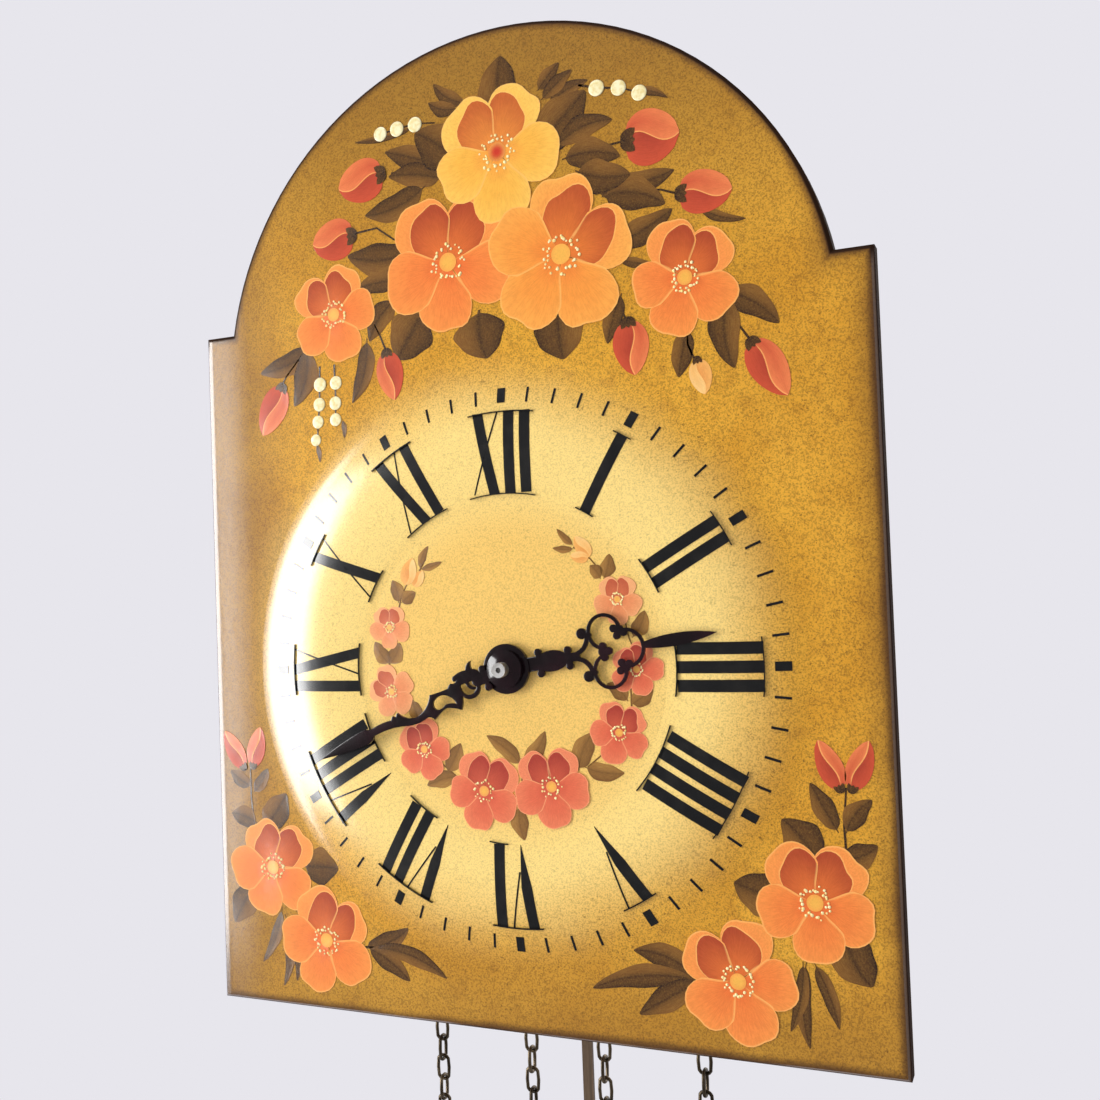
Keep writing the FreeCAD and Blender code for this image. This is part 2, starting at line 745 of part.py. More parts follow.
def make_boards():
    """Back, top and seat boards, butted and glued."""
    back = box("-case_outer", "y_board", "z_floor", "2 * case_outer", "back_thickness", "z_roof - z_floor")
    bush = drill("0", "0", "0", "hanger_radius + hanger_wall", "back_thickness")
    keep("case_back_board", cut(back, [bush]))
    depth = "y_board - y_shield"
    top = box("-case_outer", "y_shield", "z_ceiling", "2 * case_outer", depth, "top_thickness")
    seat = box("-case_outer", "y_shield", "z_floor", "2 * case_outer", depth, "seat_thickness")
    pins_up = [hinge_pin(side, "z_ceiling") for side in ("-", "")]
    pins_low = [hinge_pin(side, "z_seat") for side in ("-", "")]
    keep("case_top_board", cut(top, pins_up))
    low = "z_floor - drill_overrun"
    through = "seat_thickness + 2 * drill_overrun"
    holes = [
        post(f"{side}{strand}", "y_chain", low, "chain_hole_radius", through)
        for side in ("-", "") for strand in ("weight_x", "free_x")
    ]
    slot = box("-pendulum_slot / 2", "y_rear + foot_thickness", low, "pendulum_slot", "rear_gap", through)
    screw_holes = [seat_screw_shank(x, y) for x, y in seat_screw_places()]
    keep("seat_board", cut(seat, holes + [slot] + pins_low + screw_holes))
    pins = [hinge_pin(side, z) for side in ("-", "") for z in ("z_ceiling", "z_seat")]
    keep("door_hinge_pins", group(pins))
    flange_radius = "hanger_radius + hanger_wall + hanger_flange"
    length = "back_thickness"
    profile = [
        ("hanger_radius", "0"),
        ("hanger_radius + hanger_wall", "0"),
        ("hanger_radius + hanger_wall", length),
        (flange_radius, length),
        (flange_radius, "back_thickness + hanger_flange_thickness"),
        ("hanger_radius", "back_thickness + hanger_flange_thickness"),
    ]
    keep("hanging_bush", turned_piece(profile, "0", "0", "0", POINTING_FRONT))


def hinge_pin(side, z):
    """A wire pin, half in a board and half in a door."""
    x = f"{side}(case_half + door_thickness / 2)"
    return post(x, "y_hinge", f"{z} - hinge_pin_reach", "hinge_pin_radius", "2 * hinge_pin_reach")


def make_doors():
    """Two side doors that swing on wire pins near the wall, each with a turned knob."""
    for name, side, turn in (("left", "-", POINTING_LEFT), ("right", "", POINTING_RIGHT)):
        x = f"{side}case_half" if side == "" else "-case_outer"
        panel = box(
            x, "y_door_front", "z_seat + door_gap",
            "door_thickness", "y_door_rear - y_door_front", "z_ceiling - z_seat - 2 * door_gap",
        )
        sockets = []
        for z in ("z_ceiling", "z_seat"):
            socket = hinge_pin(side, z)
            tie(socket, Radius="hinge_pin_radius + hinge_fit", Height="2 * hinge_pin_reach + 2 * door_gap")
            tie(socket, Placement__Base__z=f"{z} - hinge_pin_reach - door_gap")
            sockets.append(socket)
        keep(f"{name}_door", cut(panel, sockets))
        neck = "knob_radius / 2"
        profile = [
            ("0", "0"),
            (neck, "0"),
            (neck, "knob_length * 0.4"),
            ("knob_radius", "knob_length * 0.6"),
            ("knob_radius", "knob_length * 0.85"),
            ("knob_radius * 0.6", "knob_length"),
            ("0", "knob_length"),
        ]
        middle = "(z_seat + z_ceiling) / 2"
        knob = turned_piece(profile, f"{side}case_outer", "y_door_front + knob_inset", middle, turn)
        keep(f"{name}_door_knob", knob)


# Movement frame
def pillar_places():
    """Two pillars near the top corners and two under the chain sprockets."""
    return [
        (f"{side}{x}", z) for side in ("-", "")
        for x, z in (("pillar_top_x", "z_hand + pillar_top_z"), ("sprocket_x", "z_hand - pillar_low_z"))
    ]


def seat_screw_places():
    """Screws through the bent feet: in front of the front plate and behind the back plate."""
    reach = "foot_reach / 2"
    return [
        (f"{side}foot_x", y) for side in ("-", "")
        for y in (f"y_front_plate - {reach}", f"y_rear + {reach}")
    ]


def seat_screw_shank(x, y):
    """The threaded part of a seat screw, from the top of the foot down."""
    height = "seat_screw_length + foot_thickness"
    return post(x, y, "z_seat - seat_screw_length", "seat_screw_radius", height)


TRAIN_PIVOTS = [
    ("-sprocket_x", "z_sprocket"),
    ("sprocket_x", "z_sprocket"),
    ("-third_x", "z_hand + third_z"),
    ("0", "z_hand + escape_z"),
    ("pin_x", "z_hand + pin_z"),
    ("warning_x", "z_hand + warning_z"),
    ("fly_x", "z_hand + fly_z"),
    ("hammer_x", "z_hand + hammer_z"),
]


def make_plate(label, front, foot_front, extra_holes):
    """One brass plate with its bent feet, pivot holes and tenon holes."""
    sheet = box(
        "-plate_half_width", front, "z_seat",
        "2 * plate_half_width", "plate_thickness", "plate_top + plate_bottom",
    )
    feet = [
        box(f"{side}foot_x - foot_width / 2", foot_front, "z_seat",
            "foot_width", "foot_reach", "foot_thickness")
        for side in ("-", "")
    ]
    rear = f"{front} + plate_thickness"
    through = "plate_thickness"
    drills = [drill(x, rear, z, "pivot_radius + running_fit", through) for x, z in TRAIN_PIVOTS]
    drills += [drill(x, rear, z, "tenon_radius", through) for x, z in pillar_places()]
    drills += [drill(x, rear, z, radius, through) for x, z, radius in extra_holes]
    drills += [seat_screw_shank(x, y) for x, y in seat_screw_places()]
    keep(label, cut(fuse([sheet] + feet), drills))


def make_frame():
    """Both plates, the pillars with their nuts, and the screws that hold the movement to its seat."""
    centre = ("0", "z_hand", "centre_arbor_radius + running_fit")
    anchor = ("0", "z_anchor", "pivot_radius + running_fit")
    stud = ("stud_x", "z_hand + stud_z", "stud_radius")
    make_plate("front_plate", "y_front_plate", "y_front_plate - foot_reach", [centre, anchor, stud])
    rear_centre = ("0", "z_hand", "pivot_radius + running_fit")
    rear_anchor = ("0", "z_anchor", "shaft_radius + running_fit")
    make_plate("back_plate", "y_back_plate", "y_rear", [rear_centre, rear_anchor])
    pillars = []
    nuts = []
    tenon = "plate_gap + 2 * plate_thickness + 2 * nut_thickness"
    for x, z in pillar_places():
        barrel = rod(x, "y_back_plate", z, "pillar_radius", "plate_gap")
        ends = rod(x, "y_rear + nut_thickness", z, "tenon_radius", tenon)
        pillars.append(fuse([barrel, ends]))
        for rear in ("y_rear + nut_thickness", "y_front_plate"):
            bore = drill(x, rear, z, "tenon_radius", "nut_thickness")
            nuts.append(cut(hex_nut(x, rear, z, "nut_radius", "nut_thickness"), [bore]))
    keep("plate_pillars", group(pillars))
    keep("pillar_nuts", group(nuts))
    screws = []
    for x, y in seat_screw_places():
        head = post(x, y, "z_seat + foot_thickness", "seat_screw_head", "seat_screw_radius")
        screws.append(fuse([seat_screw_shank(x, y), head]))
    keep("seat_screws", group(screws))


# Going train
def make_going_train():
    """Great wheel, centre arbor, third wheel and escape wheel, in mesh from the centre outward."""
    great_x, great_z = -val("sprocket_x"), -val("sprocket_drop")
    third_x, third_z = -val("third_x"), val("third_z")
    to_great = direction(0, 0, great_x, great_z)
    great_phase = mesh_phase(to_great, count("centre_leaves"), 0, count("great_teeth"))
    to_third = direction(0, 0, third_x, third_z)
    third_phase = mesh_phase(to_third, count("centre_teeth"), 0, count("third_leaves"))
    to_escape = direction(third_x, third_z, 0, val("escape_z"))
    escape_phase = mesh_phase(to_escape, count("third_teeth"), 0, count("escape_leaves"))

    great_bore = "sprocket_arbor_radius + running_fit"
    great = train_wheel("-sprocket_x", "z_sprocket", "y_great", "great_thickness",
                        "great_teeth", "great_module", great_phase, great_bore)
    keep("going_great_wheel", great)

    pinion_rear = "y_great + pinion_overlap"
    long_leaf = "great_thickness + 2 * pinion_overlap"
    leaves = pinion("0", "z_hand", pinion_rear, long_leaf, "centre_leaves", "great_module", 0)
    shaft_length = "y_back_plate - end_shake - y_arbor_tip"
    shaft = rod("0", "y_back_plate - end_shake", "z_hand", "centre_arbor_radius", shaft_length)
    pivot = rod("0", "y_rear", "z_hand", "pivot_radius", "plate_thickness + 2 * end_shake")
    tip_hole = rod("0", "y_arbor_tip + arbor_tip_reach / 2", "z_hand", "arbor_tip_hole", "arbor_tip_reach")
    keep("centre_arbor", cut(fuse([shaft, pivot, leaves]), [tip_hole]))
    centre = train_wheel("0", "z_hand", "y_centre_wheel", "wheel_thickness",
                         "centre_teeth", "centre_module", 0, "centre_arbor_radius")
    keep("centre_wheel", centre)

    short_leaf = "wheel_thickness + 2 * pinion_overlap"
    third_leaves = pinion("-third_x", "z_hand + third_z", "y_centre_wheel + pinion_overlap", short_leaf,
                          "third_leaves", "centre_module", third_phase)
    keep("third_arbor", fuse(plain_arbor("-third_x", "z_hand + third_z", "shaft_radius") + [third_leaves]))
    third = train_wheel("-third_x", "z_hand + third_z", "y_rear_wheel", "wheel_thickness",
                        "third_teeth", "third_module", 0, "shaft_radius")
    keep("third_wheel", third)

    escape_leaves = pinion("0", "z_hand + escape_z", "y_rear_wheel + pinion_overlap", short_leaf,
                           "escape_leaves", "third_module", escape_phase)
    keep("escape_arbor", fuse(plain_arbor("0", "z_hand + escape_z", "shaft_radius") + [escape_leaves]))
    escape = saw_wheel(count("escape_teeth"), val("escape_radius"), ESCAPE_ROOT, ESCAPE_LEAN,
                       val("shaft_radius"), val("wheel_thickness"))
    keep("escape_wheel", solid(escape, "0", "y_escape", "z_hand + escape_z", FACING_FRONT))


ESCAPE_ROOT = 0.86
ESCAPE_LEAN = 0.3
RATCHET_ROOT = 0.82
RATCHET_LEAN = 0.1


def saw_wheel(teeth, radius, root_share, lean, bore, thickness):
    """A wheel with pointed teeth that all lean one way."""
    pitch = 2 * math.pi / teeth
    points = []
    for index in range(teeth):
        points.append(at_angle(radius * root_share, index * pitch))
        points.append(at_angle(radius, (index + lean) * pitch))
    return slab(Part.makePolygon(points + points[:1]), [round_hole(bore)], thickness)


# Motion work and hands
def make_motion_work():
    """Cannon pinion, minute wheel on its stud, and hour wheel with its pipe."""
    to_stud = direction(0, 0, val("stud_x"), val("stud_z"))
    minute_phase = mesh_phase(to_stud, count("cannon_leaves"), 0, count("minute_teeth"))
    hour_phase = mesh_phase(to_stud + math.pi, count("minute_leaves"), 0, count("hour_teeth"))
    short_leaf = "wheel_thickness + 2 * pinion_overlap"

    cannon_rear = "y_minute_wheel + pinion_overlap"
    leaves = pinion("0", "z_hand", cannon_rear, short_leaf, "cannon_leaves", "cannon_module", 0)
    pipe = rod("0", cannon_rear, "z_hand", "cannon_pipe_radius", f"{cannon_rear} - y_arbor_tip")
    bore = drill("0", cannon_rear, "z_hand", "centre_arbor_radius", f"{cannon_rear} - y_arbor_tip")
    keep("cannon_pinion", cut(fuse([pipe, leaves]), [bore]))

    stud_bore = "stud_radius + running_fit"
    minute = train_wheel("stud_x", "z_hand + stud_z", "y_minute_wheel", "wheel_thickness",
                         "minute_teeth", "cannon_module", minute_phase, stud_bore)
    tail = "y_minute_wheel - y_hour_wheel + wheel_thickness + pinion_overlap"
    small = pinion("stud_x", "z_hand + stud_z", "y_minute_wheel", tail, "minute_leaves", "hour_module", 0)
    bore = drill("stud_x", "y_minute_wheel", "z_hand + stud_z", stud_bore, tail)
    keep("minute_wheel", cut(fuse([minute, small]), [bore]))
    stud_length = f"y_train - y_minute_wheel + {tail}"
    stud = rod("stud_x", "y_train", "z_hand + stud_z", "stud_radius", stud_length)
    stand = "minute_wheel_stand - end_shake"
    collar = rod("stud_x", "y_front_plate", "z_hand + stud_z", "stud_collar", stand)
    keep("minute_wheel_stud", fuse([stud, collar]))

    hour = train_wheel("0", "z_hand", "y_hour_wheel", "wheel_thickness",
                       "hour_teeth", "hour_module", hour_phase, "hour_bore")
    pipe_length = "y_hour_wheel - y_hour_tip"
    pipe = rod("0", "y_hour_wheel", "z_hand", "hour_pipe_radius", pipe_length)
    bore = drill("0", "y_hour_wheel", "z_hand", "hour_bore", pipe_length)
    keep("hour_wheel", cut(fuse([hour, pipe]), [bore]))


def spot(along, aside):
    """A point of a hand that points up: distance from the arbor, and distance to its left."""
    return FreeCAD.Vector(-aside, along, 0)


def disc(centre, radius):
    """A round flat."""
    return Part.Face(round_hole(radius, centre))


def ribbon(start, middle, end, width):
    """A bent strip through three points, with round ends."""
    arc = Part.Arc(start, middle, end).toShape().Curve
    centre = arc.Center
    shares = [1 + side * width / 2 / arc.Radius for side in (-1, 1)]
    inner, outer = [
        [centre + (point - centre) * share for point in (start, middle, end)] for share in shares
    ]
    strip = Part.Face(Part.Wire([
        Part.Arc(*outer).toShape(),
        Part.LineSegment(outer[2], inner[2]).toShape(),
        Part.Arc(*reversed(inner)).toShape(),
        Part.LineSegment(inner[0], outer[0]).toShape(),
    ]))
    return [strip, disc(start, width / 2), disc(end, width / 2)]


def bar(start, end, width):
    """A straight strip with round ends."""
    across = (end - start).cross(AXIS_Z).normalize() * (width / 2)
    corners = [start + across, end + across, end - across, start - across]
    strip = Part.Face(Part.makePolygon(corners + corners[:1]))
    return [strip, disc(start, width / 2), disc(end, width / 2)]


def leaf(foot, tip, foot_half, belly, belly_half):
    """A lance blade along the hand: two arcs from a narrow foot to a pointed tip."""
    left, right = [
        Part.Arc(spot(foot, side * foot_half), spot(belly, side * belly_half), spot(tip, 0)).toShape()
        for side in (1, -1)
    ]
    base = Part.LineSegment(spot(foot, -foot_half), spot(foot, foot_half)).toShape()
    return Part.Face(Part.Wire([base, left, right]))


def stamped(faces, drawn_length, length, thickness):
    """One flat piece from overlapping faces, brought from its drawn length to its real one."""
    solids = []
    for face in faces:
        sized = face.copy()
        sized.scale(length / drawn_length)
        solids.append(sized.extrude(AXIS_Z * thickness))
    return solids[0].multiFuse(solids[1:]).removeSplitter()


def trefoil(centre, inward, radius):
    """Three small balls that point inward, round a fourth."""
    aside = inward.cross(AXIS_Z)
    return [
        disc(centre, 1.2 * radius),
        disc(centre + inward * (1.6 * radius), radius),
        disc(centre + inward * (0.2 * radius) + aside * (1.4 * radius), radius),
        disc(centre + inward * (0.2 * radius) - aside * (1.4 * radius), radius),
    ]


def scalloped(points):
    """A closed rim of arcs: every second point is a corner, and each one between lies on its arc."""
    places = [spot(*point) for point in points]
    arcs = [
        Part.Arc(places[k], places[k + 1], places[(k + 2) % len(places)]).toShape()
        for k in range(0, len(places), 2)
    ]
    return Part.Wire(arcs)


def pierced(rim, hole):
    """A flat with one opening."""
    return Part.Face(rim).cut(Part.Face(hole)).Faces[0]


def hour_hand_faces():
    """Vase, collars, three open rings with trefoils, and a lance blade, drawn in millimetres."""
    ball = 1.15
    wire = 1.0
    collar = 1.7
    stem = 4.2
    neck = 2.6
    faces = bar(spot(0, 0), spot(13, 0), stem)
    faces.append(leaf(11, 21, stem / 2, 15, 3.1))
    faces += bar(spot(18, 0), spot(22.4, 0), neck)
    for along, half in ((10.8, 3.1), (20.2, 2.3)):
        faces += bar(spot(along, -half), spot(along, half), collar)
        faces += [disc(spot(along, side * half), ball) for side in (-1, 1)]
    heart = spot(33.9, 0)
    low, left, right = spot(30.9, 0), spot(36.8, 5.5), spot(36.8, -5.5)
    for joint in (low, left, right):
        faces += trefoil(joint, (heart - joint).normalize(), ball)
    for side, joint in ((1, left), (-1, right)):
        faces += ribbon(spot(30.4, side * 1.2), spot(28.9, side * 9.1), spot(36.9, side * 6.6), wire)
        shoulder = spot(26.8, side * 5.2)
        faces += ribbon(spot(22, side * 0.6), spot(25.5, side * 2.3), shoulder, 1.3 * wire)
        faces += bar(shoulder, spot(27.6, side * 5.4), 1.4 * wire)
        faces.append(disc(spot(25.4, side * 6.2), 1.4 * ball))
    faces += ribbon(spot(37, 5.2), spot(43.2, 0), spot(37, -5.2), wire)
    faces.append(leaf(43, 65, 0.8, 52, 1.8))
    return faces


SCROLL_RIM = [
    (8.2, -0.6), (13, -1.3), (18.4, -1.5), (18.6, -2.4), (18.4, -3.3), (17.3, -2.9), (16.2, -3.2), (17.3, -4),
    (16.6, -4.8), (14, -5.2), (12, -4.9), (11.2, -6.1), (9.2, -6.8), (10, -5.6), (10, -4.4), (8.9, -3.9),
]
NECK_RIM = [
    (16, 0.4), (16.7, 2.9), (18.2, 5.3), (20.4, 3.8), (22.7, 2.8), (25.2, 3.4), (27.8, 4.5), (28.6, 3.4),
    (29.9, 2.9), (34, 3.2), (38.2, 2.2), (43, 1.1), (50.5, 0.9), (50.7, -0.3), (50.5, -1.4), (46, -1.7),
    (42, -1.3), (41.7, -1.8), (41, -2.2), (40.6, -1.8), (40, -1.6), (39.7, -2.1), (39, -2.4), (36.6, 0.2),
    (33.4, 1.3), (28.9, -0.2), (26.4, -3), (23, -2.5), (19.8, -2.3), (19.2, -2.9), (18.4, -3.3), (17.5, -2.1),
    (16, -1.6), (15.7, -0.6),
]
NECK_WINDOW = [
    (19, 3), (20.6, 2.1), (22.6, 1.8), (23.6, 2.2), (24.8, 2.3), (26.6, 0.8), (25.4, -1), (22.4, -1.2),
    (20.2, 0.2), (19.3, 1.5),
]
BLADE_RIM = [
    (50, 1), (51.2, 1.9), (52.8, 2.3), (62, 1.5), (71, 0), (62, -1.5), (52.8, -2.3), (51.2, -1.9), (50, -1.4),
    (49.8, -0.2),
]


def minute_hand_faces():
    """A serpentine hand: balls, ring with a spur, scroll, pierced neck and blade, drawn in millimetres."""
    faces = bar(spot(0, 0), spot(9.6, -0.6), 3.6)
    left_ball, right_ball = spot(7, 2.6), spot(6.8, -3)
    faces += bar(left_ball, right_ball, 1.6)
    faces += [disc(left_ball, 1.2), disc(right_ball, 1.1)]
    faces.append(pierced(round_hole(3.55, spot(12.9, 0.2)), round_hole(2.8, spot(13, -0.4))))
    faces += ribbon(spot(13.2, -1.6), spot(12.7, 0.2), spot(11.5, 1.1), 0.9)
    faces.append(Part.Face(scalloped(SCROLL_RIM)))
    faces.append(pierced(scalloped(NECK_RIM), scalloped(NECK_WINDOW)))
    faces.append(Part.Face(scalloped(BLADE_RIM)))
    return faces


HOUR_HAND_DRAWN = 65
MINUTE_HAND_DRAWN = 71


def pointing(angle):
    """The turn of a hand that is so many degrees clockwise from twelve."""
    return FACING_FRONT.multiply(FreeCAD.Rotation(AXIS_Z, -val(angle)))


def make_hands():
    """Both stamped hands at the time shown, and the round nut that holds them."""
    thickness = val("hand_thickness")
    hour_shape = stamped(hour_hand_faces(), HOUR_HAND_DRAWN, val("hour_hand_length"), thickness)
    blade = solid(hour_shape, "0", "y_hour_hand", "z_hand", pointing("hour_hand_angle"))
    boss_height = "hand_thickness + hour_boss_height"
    boss = rod("0", "y_hour_hand", "z_hand", "hour_boss_radius", boss_height)
    bore = drill("0", "y_hour_hand", "z_hand", "hour_pipe_radius", boss_height)
    keep("hour_hand", cut(fuse([blade, boss]), [bore]))

    minute_shape = stamped(minute_hand_faces(), MINUTE_HAND_DRAWN, val("minute_hand_length"), thickness)
    blade = solid(minute_shape, "0", "y_minute_hand", "z_hand", pointing("minute_hand_angle"))
    boss = rod("0", "y_minute_hand", "z_hand", "hand_nut_radius", "hand_thickness")
    bore = drill("0", "y_minute_hand", "z_hand", "cannon_pipe_radius", "hand_thickness")
    keep("minute_hand", cut(fuse([blade, boss]), [bore]))

    lip = "hand_nut_thickness * 0.7"
    profile = [
        ("cannon_pipe_radius", "0"),
        ("hand_nut_radius", "0"),
        ("hand_nut_radius", lip),
        ("hand_nut_radius - hand_nut_thickness * 0.3", "hand_nut_thickness"),
        ("cannon_pipe_radius", "hand_nut_thickness"),
    ]
    keep("hand_nut", turned_piece(profile, "0", "y_hand_nut", "z_hand", POINTING_FRONT))


# Escapement and pendulum, with corner places as shares of the escape wheel's or the bob's radius
ANCHOR_RIGHT = [
    (0, 0.27), (0.46, 0), (0.95, -0.48), (0.85, -0.64),
    (0.74, -0.58), (0.72, -0.43), (0.31, -0.17), (0, -0.23),
]
BOB_FLANK = 0.55
BOB_FLANK_RISE = 0.8


def make_escapement():
    """Anchor, its arbor, and the crutch that reaches down to the pendulum rod."""
    left = [(-x, z) for x, z in reversed(ANCHOR_RIGHT[1:-1])]
    corners = [(f"{x} * escape_radius", f"{z} * escape_radius") for x, z in ANCHOR_RIGHT + left]
    anchor_rear = "y_escape + (anchor_thickness - wheel_thickness) / 2"
    pallets = flat_piece(corners, "anchor_thickness", "0", anchor_rear, "z_anchor")
    bore = drill("0", anchor_rear, "z_anchor", "shaft_radius", "anchor_thickness")
    keep("anchor", cut(pallets, [bore]))
    tail = "y_crutch + crutch_thickness"
    shaft = rod("0", tail, "z_anchor", "shaft_radius", f"{tail} - y_train - end_shake")
    pivot = rod("0", "y_train + end_shake", "z_anchor", "pivot_radius", "plate_thickness + end_shake")
    keep("anchor_arbor", fuse([shaft, pivot]))
    hub = rod("0", tail, "z_anchor", "crutch_width", "crutch_thickness")
    strip = box("-crutch_width / 2", "y_crutch", "z_anchor - crutch_length",
                "crutch_width", "crutch_thickness", "crutch_length")
    fork_half = "(rod_width / 2 + fork_play + fork_pin_radius)"
    foot = box(f"-{fork_half} - fork_pin_radius", "y_crutch", "z_anchor - crutch_length - crutch_width / 2",
               f"2 * {fork_half} + 2 * fork_pin_radius", "crutch_thickness", "crutch_width")
    pins = [
        rod(f"{side}{fork_half}", "y_rod + rod_thickness", "z_anchor - crutch_length", "fork_pin_radius",
            "y_rod + rod_thickness - y_crutch - crutch_thickness")
        for side in ("-", "")
    ]
    bore = drill("0", tail, "z_anchor", "shaft_radius", "crutch_thickness")
    keep("crutch", cut(fuse([hub, strip, foot] + pins), [bore]))


def make_pendulum():
    """Suspension bracket on the back plate, strip rod with an eye, lens bob and rating nut."""
    reach = "(rod_gap + rod_thickness + 2 * bracket_thickness)"
    arm_low = "(z_anchor + rod_eye_radius + bracket_clearance)"
    top = "(z_hand + plate_top)"
    drop_low = "(z_anchor - 2 * suspension_pin_radius)"
    base = box("-bracket_width / 2", "y_rear", arm_low,
               "bracket_width", "bracket_thickness", f"{top} - {arm_low}")
    arm = box("-bracket_arm_width / 2", "y_rear", arm_low, "bracket_arm_width", reach, "bracket_arm_height")
    drop = box("-bracket_arm_width / 2", f"y_rear + {reach} - bracket_thickness", drop_low,
               "bracket_arm_width", "bracket_thickness", f"{arm_low} + bracket_arm_height - {drop_low}")
    pin_length = "rod_thickness + 2.5 * bracket_thickness"
    pin = rod("0", f"y_rear + {reach}", "z_anchor", "suspension_pin_radius", pin_length)
    keep("suspension_bracket", fuse([base, arm, drop, pin]))

    rear = "y_rod + rod_thickness"
    eye = rod("0", rear, "z_anchor", "rod_eye_radius", "rod_thickness")
    strip = box("-rod_width / 2", "y_rod", "z_bob - bob_radius - rod_tail",
                "rod_width", "rod_thickness", "pendulum_length + bob_radius + rod_tail")
    hole = drill("0", rear, "z_anchor", "suspension_pin_radius + running_fit", "rod_thickness")
    keep("pendulum_rod", cut(fuse([eye, strip]), [hole]))

    lens = solid(bob_shape(), "0", "y_rod + rod_thickness / 2", "z_bob")
    keep("pendulum_bob", cut(lens, [rod_slot("z_bob - bob_radius", "2 * bob_radius")]))
    nut_low = "z_bob - bob_radius - rating_nut_height"
    nut = post("0", "y_rod + rod_thickness / 2", nut_low, "rating_nut_radius", "rating_nut_height")
    keep("rating_nut", cut(nut, [rod_slot(nut_low, "rating_nut_height")]))


def bob_shape():
    """A lens with a narrow flat rim, lying across Y."""
    radius = val("bob_radius")
    half = val("bob_thickness") / 2
    rim = val("bob_rim") / 2
    crest, flank, edge = [
        FreeCAD.Vector(out, up, 0)
        for out, up in ((0, half), (radius * BOB_FLANK, half * BOB_FLANK_RISE), (radius, rim))
    ]
    low_edge, low_flank, low_crest = [
        FreeCAD.Vector(point.x, -point.y, 0) for point in (edge, flank, crest)
    ]
    section = Part.Face(Part.Wire([
        Part.Arc(crest, flank, edge).toShape(),
        Part.LineSegment(edge, low_edge).toShape(),
        Part.Arc(low_edge, low_flank, low_crest).toShape(),
        Part.LineSegment(low_crest, crest).toShape(),
    ]))
    return section.revolve(FreeCAD.Vector(), AXIS_Y, 360)


def rod_slot(low, height):
    """The passage of the pendulum rod through a piece that starts at the height low."""
    return box("-rod_width / 2", "y_rod", f"{low} - drill_overrun",
               "rod_width", "rod_thickness", f"{height} + 2 * drill_overrun")


# Chains, sprockets and weights
def link_shape(across):
    """One oval wire link that hangs along Z; across is the direction of its width."""
    bend = (val("link_width") - val("link_wire")) / 2
    straight = (val("link_pitch") + val("link_play") + val("link_wire")) / 2 - bend
    side = across * bend
    up = AXIS_Z * straight
    top = AXIS_Z * (straight + bend)
    path = Part.Wire([
        Part.LineSegment(side - up, side + up).toShape(),
        Part.Arc(side + up, top, up - side).toShape(),
        Part.LineSegment(up - side, AXIS_Z * -straight - side).toShape(),
        Part.Arc(AXIS_Z * -straight - side, top * -1, side - up).toShape(),
    ])
    section = Part.Wire([Part.Circle(side - up, AXIS_Z, val("link_wire") / 2).toShape()])
    return path.makePipeShell([section], True, False)


def strand(x, links):
    """A hanging run of links, turned crosswise by turns; the first lies on the sprocket's side."""
    edge_on = link_shape(AXIS_Y)
    face_on = link_shape(AXIS_X)
    copies = []
    for index in range(links + 1):
        link = (face_on if index % 2 else edge_on).copy()
        link.translate(FreeCAD.Vector(x, 0, -index * val("link_pitch")))
        copies.append(link)
    return copies


def wrap():
    """The links that lie over the top of a sprocket."""
    edge_on = link_shape(AXIS_Y)
    face_on = link_shape(AXIS_X)
    total = count("sprocket_teeth")
    step = 180 / total
    copies = []
    for index in range(1, total):
        link = (face_on if index % 2 else edge_on).copy()
        link.translate(FreeCAD.Vector(val("chain_radius"), 0, 0))
        link.rotate(FreeCAD.Vector(), AXIS_Y, -index * step)
        copies.append(link)
    return copies


def sprocket_shape():
    """A grooved drum with a tooth for every second link."""
    wire = val("link_wire")
    radius = val("chain_radius")
    width = val("sprocket_width")
    drum = radius - wire / 2 - 2 * val("click_gap")
    groove_floor = radius - val("link_width") / 2 - val("click_gap")
    groove = wire + 2 * val("click_gap")
    tooth_width = groove - val("sprocket_tooth_play")
    tooth_length = val("sprocket_tooth_length")
    tooth_top = radius + wire
    overrun = val("drill_overrun")
    body = Part.makeCylinder(drum, width, FreeCAD.Vector(0, 0, -width / 2))
    ring = Part.makeCylinder(drum + overrun, groove, FreeCAD.Vector(0, 0, -groove / 2))
    ring = ring.cut(Part.makeCylinder(groove_floor, groove, FreeCAD.Vector(0, 0, -groove / 2)))
    body = body.cut(ring)
    teeth = []
    for index in range(count("sprocket_teeth")):
        corner = FreeCAD.Vector(groove_floor - overrun, -tooth_length / 2, -tooth_width / 2)
        tooth = Part.makeBox(tooth_top - groove_floor + overrun, tooth_length, tooth_width, corner)
        tooth.rotate(FreeCAD.Vector(), AXIS_Z, index * 360 / count("sprocket_teeth"))
        teeth.append(tooth)
    bore = Part.makeCylinder(val("sprocket_arbor_radius"), width, FreeCAD.Vector(0, 0, -width / 2))
    return body.multiFuse(teeth).cut(bore)


